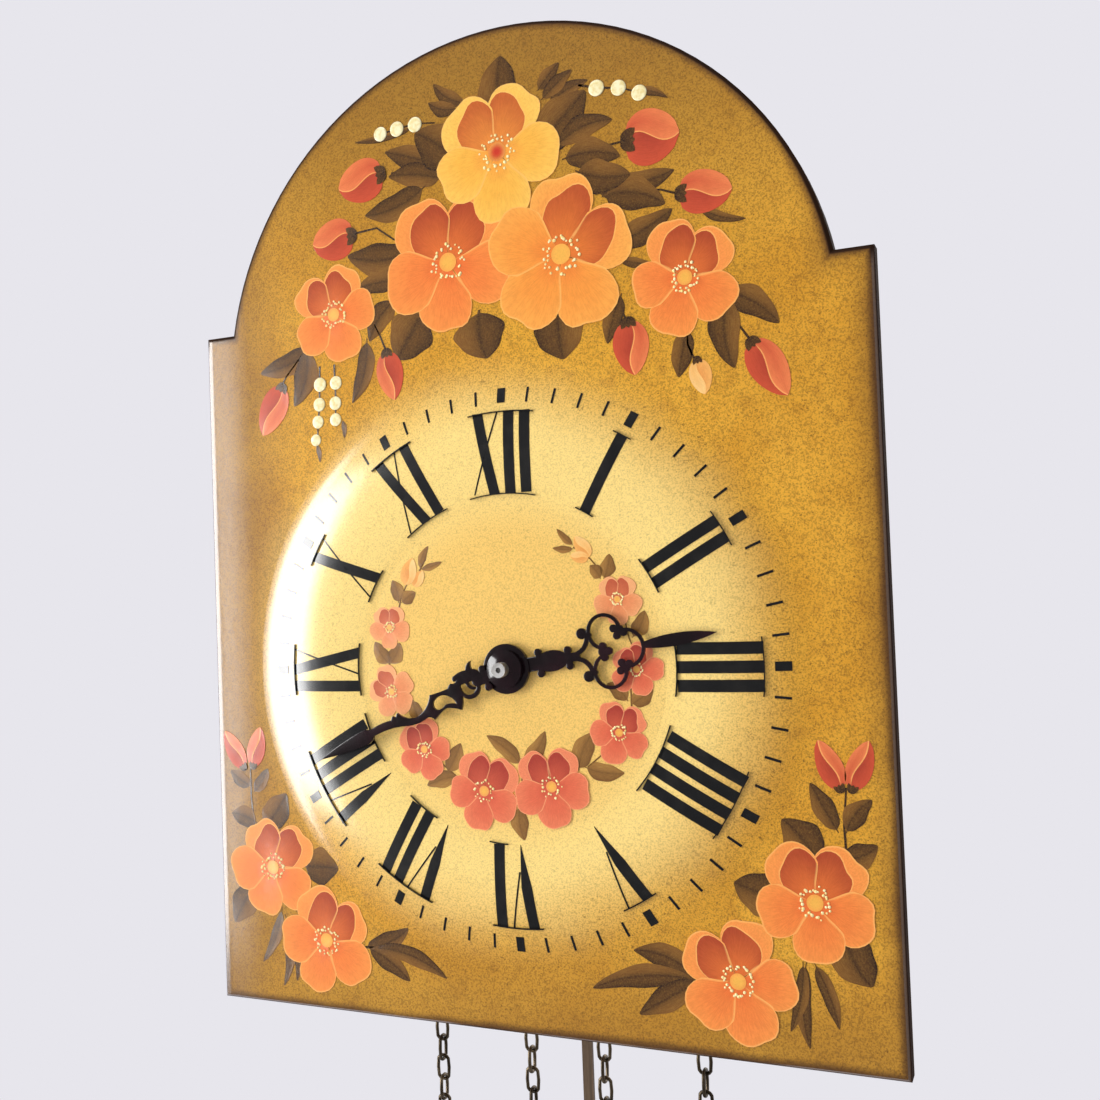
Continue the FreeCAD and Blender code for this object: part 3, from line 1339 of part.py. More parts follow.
def make_drive(name, side, great_front, great_rear, behind):
    """Sprocket with arbor and ratchet, click, both chain runs, weight and pull ring of one train."""
    x = f"{side}sprocket_x"
    sign = -1 if side else 1
    arbor = plain_arbor(x, "z_sprocket", "sprocket_arbor_radius")
    drum = solid(sprocket_shape(), x, "y_chain", "z_sprocket", FACING_FRONT)
    ratchet = saw_wheel(count("ratchet_teeth"), val("ratchet_radius"), RATCHET_ROOT, RATCHET_LEAN,
                        val("sprocket_arbor_radius"), val("ratchet_thickness"))
    half = "sprocket_width / 2"
    ratchet_rear = f"y_chain + {half} + ratchet_thickness" if behind else f"y_chain - {half}"
    saw = solid(ratchet, x, ratchet_rear, "z_sprocket", FACING_FRONT)
    keep(f"{name}_sprocket", fuse(arbor + [drum, saw]))

    reach = "(ratchet_radius + click_gap)"
    click_rear = great_front if behind else f"{great_rear} + ratchet_thickness"
    corners = [
        ("0", reach),
        ("click_height * 1.2", f"{reach} + click_height * 0.2"),
        ("click_height * 2.3", f"{reach} + click_height * 0.9"),
        ("0", f"{reach} + click_height"),
        ("-click_height * 0.9", f"{reach} + click_height * 0.6"),
    ]
    keep(f"{name}_click", flat_piece(corners, "ratchet_thickness", x, click_rear, "z_sprocket"))

    radius = val("chain_radius")
    loaded = strand(sign * radius, count("weight_links")) + wrap()
    keep(f"{name}_weight_chain", solid(Part.makeCompound(loaded), x, "y_chain", "z_sprocket"))
    slack = strand(-sign * radius, count("free_links"))
    keep(f"{name}_pull_chain", solid(Part.makeCompound(slack), x, "y_chain", "z_sprocket"))

    weight_x = f"{side}weight_x"
    profile = [
        ("0", "-weight_height"),
        ("weight_radius * 0.8", "-weight_height"),
        ("weight_radius", "-weight_height * 0.96"),
        ("weight_radius", "-weight_height * 0.05"),
        ("weight_radius * 0.86", "0"),
        ("0", "0"),
    ]
    body = turned_piece(profile, weight_x, "y_chain", "z_weight")
    eye = torus(weight_x, "z_weight + eye_radius + eye_wire / 2", "eye_radius")
    stem = post(weight_x, "y_chain", "z_weight - eye_wire", "eye_wire / 2", "eye_wire * 1.5")
    keep(f"{name}_weight", fuse([body, eye, stem]))
    ring_z = "z_free_link - eye_drop - pull_ring_radius"
    keep(f"{name}_pull_ring", torus(f"{side}free_x", ring_z, "pull_ring_radius"))


def torus(x, z, radius):
    """A wire ring that faces the front, in the plane of the chains."""
    ring = DOC.addObject("Part::Torus", "Ring")
    tie(ring, Radius1=radius, Radius2="eye_wire / 2")
    return place(ring, x, "y_chain", z, FACING_FRONT)


# Strike train, bell and hammer
def make_strike_train():
    """Strike great wheel, pin wheel, warning wheel and fly, in mesh from the pin wheel outward."""
    pin_x, pin_z = val("pin_x"), val("pin_z")
    warning_x, warning_z = val("warning_x"), val("warning_z")
    to_great = direction(pin_x, pin_z, val("sprocket_x"), -val("sprocket_drop"))
    great_phase = mesh_phase(to_great, count("pin_leaves"), 0, count("strike_great_teeth"))
    to_warning = direction(pin_x, pin_z, warning_x, warning_z)
    warning_phase = mesh_phase(to_warning, count("pin_teeth"), 0, count("warning_leaves"))
    to_fly = direction(warning_x, warning_z, val("fly_x"), val("fly_z"))
    fly_phase = mesh_phase(to_fly, count("warning_teeth"), 0, count("fly_leaves"))
    short_leaf = "wheel_thickness + 2 * pinion_overlap"

    great = train_wheel("sprocket_x", "z_sprocket", "y_strike_great", "great_thickness",
                        "strike_great_teeth", "strike_module", great_phase,
                        "sprocket_arbor_radius + running_fit")
    keep("strike_great_wheel", great)

    pin_leaves = pinion("pin_x", "z_hand + pin_z", "y_strike_great + pinion_overlap",
                        "great_thickness + 2 * pinion_overlap", "pin_leaves", "strike_module", 0)
    keep("pin_arbor", fuse(plain_arbor("pin_x", "z_hand + pin_z", "shaft_radius") + [pin_leaves]))
    wheel = train_wheel("pin_x", "z_hand + pin_z", "y_pin_wheel", "wheel_thickness",
                        "pin_teeth", "pin_module", 0, "shaft_radius")
    lifters = []
    total = count("lift_pins")
    for index in range(total):
        angle = 2 * math.pi * index / total
        across = math.cos(angle)
        up = math.sin(angle)
        lifters.append(rod(f"pin_x + lift_pin_circle * {across:.6f}", "y_pin_wheel + lift_pin_length",
                           f"z_hand + pin_z + lift_pin_circle * {up:.6f}", "lift_pin_radius",
                           "lift_pin_length + wheel_thickness / 2"))
    keep("pin_wheel", fuse([wheel] + lifters))

    warning_leaves = pinion("warning_x", "z_hand + warning_z", "y_pin_wheel + pinion_overlap", short_leaf,
                            "warning_leaves", "pin_module", warning_phase)
    arbor = plain_arbor("warning_x", "z_hand + warning_z", "shaft_radius")
    warning = train_wheel("warning_x", "z_hand + warning_z", "y_rear_wheel", "wheel_thickness",
                          "warning_teeth", "fly_module", 0, "shaft_radius")
    keep("warning_wheel", group([fuse(arbor + [warning_leaves]), warning]))

    fly_leaves = pinion("fly_x", "z_hand + fly_z", "y_rear_wheel + pinion_overlap", short_leaf,
                        "fly_leaves", "fly_module", fly_phase)
    vane = box("fly_x - fly_radius", "y_train + fly_depth", "z_hand + fly_z - fly_leaf / 2",
               "2 * fly_radius", "fly_length", "fly_leaf")
    keep("fly", fuse(plain_arbor("fly_x", "z_hand + fly_z", "shaft_radius") + [fly_leaves, vane]))


def make_bell():
    """Half-round bell under a bracket on the back board, and the hammer that rests beside its rim."""
    shell = DOC.addObject("Part::Sphere", "Shell")
    shell.Angle1 = 0
    tie(shell, Radius="bell_radius")
    place(shell, "bell_x", "y_bell", "z_bell")
    inside = DOC.addObject("Part::Sphere", "Inside")
    tie(inside, Radius="bell_radius - bell_wall")
    place(inside, "bell_x", "y_bell", "z_bell")
    bore = post("bell_x", "y_bell", "z_bell", "bell_post_radius", "bell_radius + drill_overrun")
    keep("bell", cut(shell, [inside, bore]))

    z_arm = "z_bell + bell_radius + bell_seat_gap"
    arm = box("bell_x - bell_arm_width / 2", "y_bell - bell_arm_width / 2", z_arm,
              "bell_arm_width", "y_board - y_bell + bell_arm_width / 2", "bell_arm_thickness")
    foot = box("bell_x - bell_arm_width", "y_board - bell_arm_thickness", z_arm,
               "2 * bell_arm_width", "bell_arm_thickness", "bell_foot_height")
    stem_low = "z_bell + bell_radius - bell_wall - bell_stem_drop"
    stem_height = "bell_wall + bell_stem_drop + bell_seat_gap + bell_arm_thickness + bell_stem_rise"
    stem = post("bell_x", "y_bell", stem_low, "bell_post_radius", stem_height)
    head = post("bell_x", "y_bell", stem_low, "2 * bell_post_radius", "bell_screw_height")
    keep("bell_stand", fuse([arm, foot, stem, head]))

    pivot_x, pivot_z = val("hammer_x"), val("hammer_z")
    head_z = val("bell_mouth_z") + val("hammer_head_radius") / 2
    face_x = val("bell_x") + val("bell_radius") + val("hammer_rest_gap")
    length = val("hammer_head_length")
    y_arm = val("y_bell") - val("y_train")
    pivot = FreeCAD.Vector(pivot_x, y_arm, pivot_z)
    head_centre = FreeCAD.Vector(face_x + length / 2, y_arm, head_z)
    rise = head_centre - pivot
    stalk = Part.makeCylinder(val("hammer_arm_radius"), rise.Length, pivot, rise)
    face = FreeCAD.Vector(face_x, y_arm, head_z)
    knocker = Part.makeCylinder(val("hammer_head_radius"), length, face, AXIS_X)
    tail_y = val("pin_wheel_depth") + val("wheel_thickness") + val("lift_pin_length") / 2
    tail_from = FreeCAD.Vector(pivot_x, tail_y, pivot_z)
    tail_to = FreeCAD.Vector(val("pin_x"), tail_y, val("pin_z"))
    towards = (tail_to - tail_from).normalize()
    tail = Part.makeCylinder(val("hammer_arm_radius"), val("hammer_tail"), tail_from, towards)
    moving = solid(stalk.multiFuse([knocker, tail]), "0", "y_train", "z_hand")
    keep("hammer", fuse(plain_arbor("hammer_x", "z_hand + hammer_z", "shaft_radius") + [moving]))


def check_and_write():
    """Stop on any failed object or bad solid, then write one file for each piece."""
    DOC.removeObject(PROBE.Name)
    DOC.recompute()
    for obj in DOC.Objects:
        if "Invalid" in obj.State or "Error" in obj.State:
            raise RuntimeError(f"{obj.Label} failed: {obj.State}")
    for label, obj in PARTS.items():
        shape = obj.Shape
        if shape.isNull() or not shape.isValid() or not shape.Solids:
            raise RuntimeError(f"{label} is not a valid solid")
        print(f"{label}: {len(shape.Solids)} solids, {shape.Volume:.1f} mm3")
    os.makedirs("parts", exist_ok=True)
    for label, obj in PARTS.items():
        obj.Shape.exportStep(f"parts/{label}.step")
    print(f"{len(PARTS)} pieces")


make_shield()
make_stiles()
make_boards()
make_doors()
make_frame()
make_going_train()
make_motion_work()
make_hands()
make_escapement()
make_pendulum()
make_drive("going", "-", "y_great - great_thickness", "y_great", False)
make_drive("strike", "", "y_strike_great - great_thickness", "y_strike_great", True)
make_strike_train()
make_bell()
check_and_write()
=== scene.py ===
# %% [markdown]
# # A painted wall clock
# The object is a wall clock of the Black Forest kind: a wooden shield with an arched top, painted with wild
# roses and lacquered, a small wooden movement case behind it, and weights on two chains below. The solids come
# from a CAD frame in metres. Here each of them gets a finish, and what a brush or a chain maker adds is
# modelled on top.

# %% Load the frame
import json
from math import cos, exp, hypot, pi, radians, sin, sqrt
from random import seed, uniform

import bpy
from mathutils import Matrix, Vector

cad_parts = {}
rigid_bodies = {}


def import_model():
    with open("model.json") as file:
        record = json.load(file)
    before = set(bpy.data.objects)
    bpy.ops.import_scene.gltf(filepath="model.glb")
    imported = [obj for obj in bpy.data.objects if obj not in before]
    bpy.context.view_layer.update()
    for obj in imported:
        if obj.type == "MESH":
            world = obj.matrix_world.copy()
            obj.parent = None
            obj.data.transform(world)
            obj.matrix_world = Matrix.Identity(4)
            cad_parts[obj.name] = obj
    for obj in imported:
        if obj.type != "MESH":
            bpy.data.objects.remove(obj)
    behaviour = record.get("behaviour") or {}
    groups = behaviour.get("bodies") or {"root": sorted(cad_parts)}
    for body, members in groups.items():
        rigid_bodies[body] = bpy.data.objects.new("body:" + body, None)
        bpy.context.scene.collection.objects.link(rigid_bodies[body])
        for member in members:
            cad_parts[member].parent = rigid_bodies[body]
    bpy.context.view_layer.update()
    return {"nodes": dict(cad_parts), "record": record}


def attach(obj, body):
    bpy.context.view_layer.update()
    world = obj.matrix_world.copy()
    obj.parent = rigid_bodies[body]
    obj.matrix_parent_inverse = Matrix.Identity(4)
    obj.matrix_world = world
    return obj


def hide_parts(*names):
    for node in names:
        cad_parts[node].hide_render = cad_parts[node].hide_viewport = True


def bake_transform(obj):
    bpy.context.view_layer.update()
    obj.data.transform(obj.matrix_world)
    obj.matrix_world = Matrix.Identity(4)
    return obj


bpy.ops.object.select_all(action="SELECT")
bpy.ops.object.delete()
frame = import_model()
scene = bpy.context.scene
scene.view_settings.view_transform = "Standard"

# %% [markdown]
# ## The camera
# The photographer stood close, to the right of the clock and a little below its middle, so the shield's sides
# run together. A lens and a place alone give that, without any shift. The three axes are what the camera calls
# right, up and back, written in the clock's own frame.

# %% Camera
CAMERA_PLACE = Vector((0.15075, -0.3858, -0.0506))
CAMERA_RIGHT = Vector((0.91785, 0.39519, -0.03710))
CAMERA_UP = Vector((0.04561, -0.01216, 0.99889))
CAMERA_BACK = Vector((0.39429, -0.91852, -0.02919))
LENS = 38.61
SENSOR = 36
NEAREST = 0.01
axes = Matrix((CAMERA_RIGHT, CAMERA_UP, CAMERA_BACK)).transposed()
bpy.ops.object.camera_add(location=CAMERA_PLACE, rotation=axes.to_euler())
camera = bpy.context.object
camera.data.lens = LENS
camera.data.sensor_width = SENSOR
camera.data.clip_start = NEAREST
scene.camera = camera
print("camera looks along", [round(c, 3) for c in -CAMERA_BACK])

# %% [markdown]
# ## A few helpers for finishes
# A finish is a small graph of shader nodes. Writing each node out takes many lines, so a class keeps one graph
# and adds nodes to it in short sentences. Colours are written as they look on a screen, from 0 to 255, and
# turned into the linear values that the renderer counts with.


# %% Colours and nodes
def screen(red, green, blue):
    """A screen colour as linear red, green, blue and a full alpha."""
    parts = [c / 255 for c in (red, green, blue)]
    return (*[c / 12.92 if c <= 0.04045 else ((c + 0.055) / 1.055) ** 2.4 for c in parts], 1.0)


class Value:
    """What a node gives. Sums and products of values are nodes too."""

    def __init__(self, graph, socket):
        self.graph = graph
        self.socket = socket

    def __add__(self, other):
        return self.graph.math("ADD", self, other)

    def __sub__(self, other):
        return self.graph.math("SUBTRACT", self, other)

    def __rsub__(self, other):
        return self.graph.math("SUBTRACT", other, self)

    def __mul__(self, other):
        return self.graph.math("MULTIPLY", self, other)


class Graph:
    """A tree of shader nodes. Its methods take numbers, colours and what other nodes give."""

    def __init__(self, tree):
        self.tree = tree

    def add(self, kind, inputs=None, **settings):
        node = self.tree.nodes.new("ShaderNode" + kind)
        for name, value in settings.items():
            setattr(node, name, value)
        for socket, value in (inputs or {}).items():
            self.put(value, node.inputs[socket])
        return node

    def put(self, value, socket):
        if isinstance(value, Value):
            value = value.socket
        if isinstance(value, bpy.types.NodeSocket):
            self.tree.links.new(value, socket)
        else:
            socket.default_value = value

    def value(self, kind, output, inputs=None, **settings):
        return Value(self, self.add(kind, inputs, **settings).outputs[output])

    def math(self, operation, *values):
        return self.value("Math", 0, dict(enumerate(values)), operation=operation)

    def most(self, first, second):
        return self.math("MAXIMUM", first, second)

    def mix(self, share, first, second, blend="MIX"):
        return self.value("Mix", 2, {0: share, 6: first, 7: second}, data_type="RGBA", blend_type=blend)

    def smooth(self, value, low, high, kind="SMOOTHSTEP"):
        inputs = {"Value": value, "From Min": low, "From Max": high}
        return self.value("MapRange", "Result", inputs, interpolation_type=kind)


print("a middle grey of 128 is", round(screen(128, 128, 128)[0], 3))


# %% Finishes
class Finish(Graph):
    """The graph of one material."""

    def __init__(self, name):
        self.material = bpy.data.materials.new(name)
        self.material.use_nodes = True
        super().__init__(self.material.node_tree)
        self.surface = self.tree.nodes["Principled BSDF"]
        self.place = self.value("TexCoord", "Object")

    def set(self, **inputs):
        for name, value in inputs.items():
            self.put(value, self.surface.inputs[name.replace("_", " ")])

    def noise(self, scale, detail, vector=None, stretch=None):
        vector = vector or self.place
        if stretch:
            vector = self.value("Mapping", 0, {"Vector": vector, "Scale": stretch})
        return self.value("TexNoise", "Fac", {"Vector": vector, "Scale": scale, "Detail": detail})

    def bump(self, height, strength, depth):
        normal = self.value("Bump", "Normal", {"Height": height, "Strength": strength, "Distance": depth})
        self.set(Normal=normal, Coat_Normal=normal)


print("finishes can be mixed")

# %% [markdown]
# ## The lacquered shield
# The board was painted ochre, dabbed with brown until it was speckled all over, shaded darker towards its edge
# and lighter over the dial, and then lacquered. The darkening towards the top of the arch is painted shade,
# and the dial's lighter patch is set a little left and up as painted light from the window side. A shader can
# do all of this from the board's own coordinates.
# The edge shade needs the distance to the outline, which is the larger of two distances: into the square board
# and into the round arch. Behind the front the board is bare wood.

# %% Distances on the board, in millimetres
MM = 0.001
FRONT_Y = 66.0
BOTTOM_Z = -183.5
SHOULDER_Z = 36.5
HALF_WIDTH = 110.0
ARCH_Z = 17.99
ARCH_RADIUS = 101.01
DIAL_Z = -75.0
# The dial's lighter patch is centred this far left and up: painted light from the window side.
PAINTED_LIGHT_LEFT = 5.0
PAINTED_LIGHT_UP = 4.0
WANDER = 12
coat = Finish("speckled_lacquer")
x_mm, y_mm, z_mm = [coat.value("SeparateXYZ", axis, {0: coat.place}) * (1 / MM) for axis in "XYZ"]


def far_from(x, centre_z):
    """The distance in the board's plane from a point on its middle line."""
    up = z_mm - centre_z
    return coat.math("SQRT", x * x + up * up)


side = HALF_WIDTH - coat.math("ABSOLUTE", x_mm)
in_square = coat.math("MINIMUM", side, coat.math("MINIMUM", z_mm - BOTTOM_Z, SHOULDER_Z - z_mm))
inside = coat.most(in_square, ARCH_RADIUS - far_from(x_mm, ARCH_Z))
from_dial = far_from(x_mm, DIAL_Z)
# Distance from the lighter dial patch's centre, moved left and up as painted light.
from_glow = far_from(x_mm + PAINTED_LIGHT_LEFT, DIAL_Z + PAINTED_LIGHT_UP)
clouds = coat.noise(38, 3)
wander = (clouds - 0.5) * WANDER
print("distances take", len(coat.tree.nodes), "nodes")

# %% Ground: each shade has a measure, how ragged it is, where it starts and is full, and how deep it is
# The second shade, darker towards the arch's top, is painted shade.
SHADES = [
    (inside, 0.6, 10, -1, 1.6), (z_mm, 1.0, 24, 118, 1.8),
    (z_mm, 1.0, -140, -190, 1.3), (x_mm, 1.0, -62, -108, 1.8),
]
SHADE_SHARE = 0.45
GLOW = (94, 64)
DIAL_MIDDLE = (36, 58)
shade = 0.0
for measure, ragged, start, full, depth in SHADES:
    shade = coat.most(shade, coat.smooth(measure + wander * ragged, start, full) * depth)
mottle = coat.smooth(coat.noise(210, 3), 0.5, 0.75)
ground = coat.mix(coat.smooth(clouds, 0.3, 0.7), screen(212, 150, 36), screen(228, 168, 50))
ground = coat.mix(mottle * 0.4, ground, screen(176, 118, 30))
ground = coat.mix(shade * SHADE_SHARE, ground, screen(142, 100, 34))
glow = coat.smooth(from_glow + wander, *GLOW)
dial = coat.mix(coat.smooth(from_dial, *DIAL_MIDDLE), screen(244, 200, 108), screen(251, 218, 132))
ground = coat.mix(glow, ground, dial)
print("ground has", len(SHADES), "shades")

# %% Speckle and varnish
SPECKLE = screen(78, 50, 18)
SPARSE_ON_DIAL = 0.52
BORDER = (3.6, 0.6)
ARCH_LINE = (1.6, 0.9)
ARCH_FOOT = (30, 36)
EDGE_FACE = (-65.6, -65.2)
BACK_FACE = (-60.3, -60.05)


def speckled(finish, colour, thin, tone=SPECKLE):
    """Dabs of two sizes over a colour; thin says where they are sparse."""
    fine = finish.smooth(finish.noise(2100, 3), 0.42, 0.66)
    coarse = finish.smooth(finish.noise(1350, 2), 0.60, 0.70)
    dabs = finish.most(fine * 0.66, coarse) * 0.7
    return finish.mix(dabs * (1.0 - thin), colour, tone)


def glaze(finish):
    """A coat of varnish. It soaks into the paint, so that the paint itself hardly shines under it."""
    finish.set(Specular_IOR_Level=0.06, Coat_Weight=1.0, Coat_IOR=1.7, Coat_Roughness=0.19)


front = speckled(coat, ground, glow * SPARSE_ON_DIAL)
border = coat.smooth(inside + wander * 0.16, *BORDER)
front = coat.mix(border * 0.85, front, screen(66, 36, 17))
arch_line = coat.smooth(inside, *ARCH_LINE) * coat.smooth(z_mm, *ARCH_FOOT)
edge = coat.most(coat.smooth(y_mm, *EDGE_FACE), arch_line)
edge_paint = coat.mix(clouds, screen(30, 18, 12), screen(58, 36, 22))
rings = coat.noise(30, 4, stretch=(6, 6, 0.5))
bare_wood = coat.mix(rings, screen(150, 108, 66), screen(190, 150, 100))
painted = coat.mix(edge, front, edge_paint)
glaze(coat)
coat.set(Base_Color=coat.mix(coat.smooth(y_mm, *BACK_FACE), painted, bare_wood),
         Roughness=edge * 0.55 + 0.30, Coat_Weight=1.0 - edge)
print("speckle and varnish laid")

# %% Relief of the varnish, which rolls over the board's sides
UNEVEN = 0.02
GRAINY = 0.006
ROLLED = 0.18
SAGGING = 0.45
height = coat.noise(420, 3) * UNEVEN + coat.noise(2600, 1) * GRAINY
height = height + coat.smooth(side, -0.6, 2.6) * ROLLED + coat.smooth(side, -3, 17) * SAGGING
coat.bump(height, 1.0, MM)
print("shield finish has", len(coat.tree.nodes), "nodes")

# %% [markdown]
# ## Metals and wood
# Every other solid keeps its CAD mesh and only needs a finish. Metals differ in colour, in how rough they are
# and in how they were worked, so one function makes them all: a cloudy tarnish over the base colour, fine
# scratches that change the roughness, and a shallow bump.


# %% Metal finishes
def metal(name, bright, dull, rough, grain, shine=1.0, scratch=(1, 1, 1)):
    """A metal or a painted metal; dull is the colour of its tarnish."""
    finish = Finish(name)
    tarnish = finish.smooth(finish.noise(90, 4), 0.38, 0.68)
    marks = finish.noise(grain, 3, stretch=scratch)
    finish.set(Base_Color=finish.mix(tarnish, bright, dull), Metallic=shine, Roughness=marks * 0.22 + rough)
    finish.bump(marks, 0.12, 0.2 * MM)
    return finish


brass = metal("sheet_brass", screen(218, 178, 98), screen(194, 150, 74), 0.2, 260, scratch=(1, 1, 9))
steel = metal("turned_steel", screen(214, 213, 212), screen(176, 173, 170), 0.34, 500, scratch=(1, 8, 1))
hand_paint = metal("black_hand_lacquer", screen(18, 7, 11), screen(36, 13, 20), 0.2, 700, shine=0.0)
hand_paint.set(Specular_IOR_Level=0.08, Coat_Weight=1.0, Coat_Roughness=0.1)
chain_metal = metal("dark_chain", screen(118, 104, 84), screen(70, 61, 50), 0.26, 900)
iron = metal("weight_iron", screen(74, 70, 66), screen(44, 40, 38), 0.42, 420, shine=0.6)
bronze = metal("bell_bronze", screen(206, 164, 98), screen(160, 118, 66), 0.16, 300, scratch=(1, 1, 6))
print("six metals ready")


# %% Wood finishes
def wood(name, light, dark, along):
    """Wood with its grain along the given stretch, a fleck in it and an oiled surface."""
    finish = Finish(name)
    grain = finish.noise(60, 5, stretch=along)
    fleck = finish.noise(420, 2, stretch=along)
    base = finish.mix(finish.smooth(grain, 0.34, 0.66), light, dark)
    finish.set(Base_Color=finish.mix(finish.smooth(fleck, 0.56, 0.72), base, dark),
               Roughness=grain * 0.2 + 0.42)
    finish.bump(fleck, 0.15, 0.3 * MM)
    return finish


slot_finish = {
    "painted_shield": coat, "brass": brass, "steel": steel, "black_hand": hand_paint,
    "dark_chain": chain_metal, "weight_iron": iron, "bell_metal": bronze,
    "case_wood": wood("oiled_beech", screen(170, 122, 74), screen(130, 87, 49), (4, 4, 0.16)),
    "pendulum_rod": wood("stained_rod", screen(112, 90, 66), screen(78, 60, 42), (8, 8, 0.3)),
}
for subpart in frame["record"]["subparts"]:
    node_mesh = frame["nodes"][subpart["node"]].data
    node_mesh.materials.clear()
    node_mesh.materials.append(slot_finish[subpart["material_slot"]].material)

# %% [markdown]
# ## Where paint lies
# A painter works on the board in the flat: so far across from the middle, so high above the bottom edge. The
# dial bulges, though, so every point of a stroke is lifted onto the bulge by the same four arcs that its solid
# is turned from. Each arc leaves one of its ends level.

# %% The bulge of the dial
DIAL_HEIGHT = DIAL_Z - BOTTOM_Z
DIAL_FOOT = 91.0
DIAL_FLANK = 85.0
DIAL_CREST = 64.0
DIAL_GROOVE = 49.0
DIAL_RISE = 3.2
FLANK_RISE = DIAL_RISE * (DIAL_FOOT - DIAL_FLANK) / (DIAL_FOOT - DIAL_CREST)
GROOVE_DROP = 0.7
CENTRE_DROP = 0.2


def fall(width, drop, away):
    """How far an arc that drops so far over a width has dropped at a distance from its level end."""
    bend = (width * width + drop * drop) / (2 * drop)
    return bend - sqrt(bend * bend - away * away)


def proud(across, height):
    """How far the painted surface stands out from the flat of the board."""
    away = hypot(across, height - DIAL_HEIGHT)
    if away >= DIAL_FOOT:
        return 0.0
    if away >= DIAL_FLANK:
        return fall(DIAL_FOOT - DIAL_FLANK, FLANK_RISE, DIAL_FOOT - away)
    if away >= DIAL_CREST:
        return DIAL_RISE - fall(DIAL_FLANK - DIAL_CREST, DIAL_RISE - FLANK_RISE, away - DIAL_CREST)
    if away >= DIAL_GROOVE:
        return DIAL_RISE - fall(DIAL_CREST - DIAL_GROOVE, GROOVE_DROP, DIAL_CREST - away)
    return DIAL_RISE - CENTRE_DROP - fall(DIAL_GROOVE, GROOVE_DROP - CENTRE_DROP, away)


def on_board(across, height, lift):
    """The frame's point, in metres, of a spot on the painting."""
    return across * MM, -(FRONT_Y + proud(across, height) + lift) * MM, (height + BOTTOM_Z) * MM


print("the dial stands proud by", round(proud(DIAL_CREST, DIAL_HEIGHT), 2), "mm")

# %% [markdown]
# ## A brush
# Each stroke starts as a copy of one flat grid, and its points are moved into the stroke's outline. Two things
# are written on the points: the pigment, mixed from the stroke's middle to its rim, and how far a point
# is from the rim, so that the shader can draw the thin light line that edges every petal. Strokes of one kind
# are then joined, and Solidify gives them a body that reaches a little way into the board.


# %% Layers
def select(*pieces):
    """Deselects everything else; the first of the pieces is the active one."""
    bpy.ops.object.select_all(action="DESELECT")
    for piece in pieces:
        piece.select_set(True)
    if pieces:
        bpy.context.view_layer.objects.active = pieces[0]


class Layer:
    """Meshes of one kind, which end up as one piece."""

    def __init__(self, name, finish):
        self.name = name
        self.finish = finish
        self.copies = []

    def lay(self, mesh):
        copy = bpy.data.objects.new(self.name, mesh)
        scene.collection.objects.link(copy)
        self.copies.append(copy)

    def join(self):
        select(*self.copies)
        bpy.ops.object.join()
        piece = bpy.context.object
        piece.name = self.name
        piece.data.materials.clear()
        piece.data.materials.append(self.finish.material)
        print(self.name, "is joined from", len(self.copies))
        return piece


print("layers ready")

# %% Strokes
PAINT_LIFT = 0.10
PAINT_DEPTH = 0.55
NO_RIM = 9.0
seed(7)
blanks = {}


def blank(columns, rows):
    """The flat grid that strokes of one fineness are copied from."""
    if (columns, rows) not in blanks:
        select()
        bpy.ops.mesh.primitive_grid_add(x_subdivisions=columns, y_subdivisions=rows, size=2)
        blanks[columns, rows] = bpy.context.object.data.copy()
        bpy.ops.object.delete()
    return blanks[columns, rows]


class Paint(Layer):
    """Strokes of one kind, riding on the case."""

    def stroke(self, shape, pigment, lift, fineness, rim=None):
        """Lays a stroke: shape and pigment are functions of across (-1 to 1) and along (0 to 1)."""
        mesh = blank(*fineness).copy()
        places, colours, rims = [], [], []
        for vertex in mesh.vertices:
            across, along = vertex.co.x, (vertex.co.y + 1) / 2
            places.extend(on_board(*shape(across, along), PAINT_LIFT + lift))
            colours.extend(pigment(across, along))
            rims.append(rim(across, along) if rim else NO_RIM)
        mesh.vertices.foreach_set("co", places)
        mesh.attributes.new("pigment", "FLOAT_COLOR", "POINT").data.foreach_set("color", colours)
        mesh.attributes.new("rim", "FLOAT", "POINT").data.foreach_set("value", rims)
        self.lay(mesh)

    def done(self):
        piece = self.join()
        body = piece.modifiers.new("body", "SOLIDIFY")
        body.thickness = PAINT_DEPTH * MM
        body.offset = -1.0
        bpy.ops.object.modifier_apply(modifier=body.name)
        bpy.ops.object.shade_smooth_by_angle(angle=radians(40))
        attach(piece, "case")


print("brush ready")


# %% Paints
def flower_paint(name, rim_light, rim_width, streak, thin, tone=SPECKLE):
    """Pigment in fine brush streaks, with a light line along the rim and a few dabs of another tone."""
    finish = Finish(name)
    pigment = finish.value("Attribute", "Color", attribute_name="pigment")
    rim = finish.value("Attribute", "Fac", attribute_name="rim")
    hairs = finish.noise(9, 3, finish.value("UVMap", "UV"), (5, 0.7, 1))
    patches = finish.noise(260, 3)
    deep = finish.mix(1.0, pigment, screen(226, 214, 206), "MULTIPLY")
    base = finish.mix(finish.smooth(hairs, 0.35, 0.65) * streak, pigment, deep)
    base = finish.mix(finish.smooth(patches, 0.45, 0.7) * 0.2, base, deep)
    line = finish.smooth(rim, rim_width, rim_width * 0.25)
    base = finish.mix(line * 0.6, base, rim_light)
    finish.set(Base_Color=speckled(finish, base, thin, tone), Roughness=patches * 0.16 + 0.24)
    finish.bump(hairs, 0.12, 0.3 * MM)
    glaze(finish)
    return finish


def dabbed_paint(name, light, shade, grain, band, rough, relief):
    """Opaque paint whose tone, shine and relief all follow one noise."""
    finish = Finish(name)
    dabs = finish.noise(*grain)
    finish.set(Base_Color=finish.mix(finish.smooth(dabs, *band), light, shade), Roughness=dabs * 0.2 + rough)
    finish.bump(dabs, *relief)
    glaze(finish)
    return finish


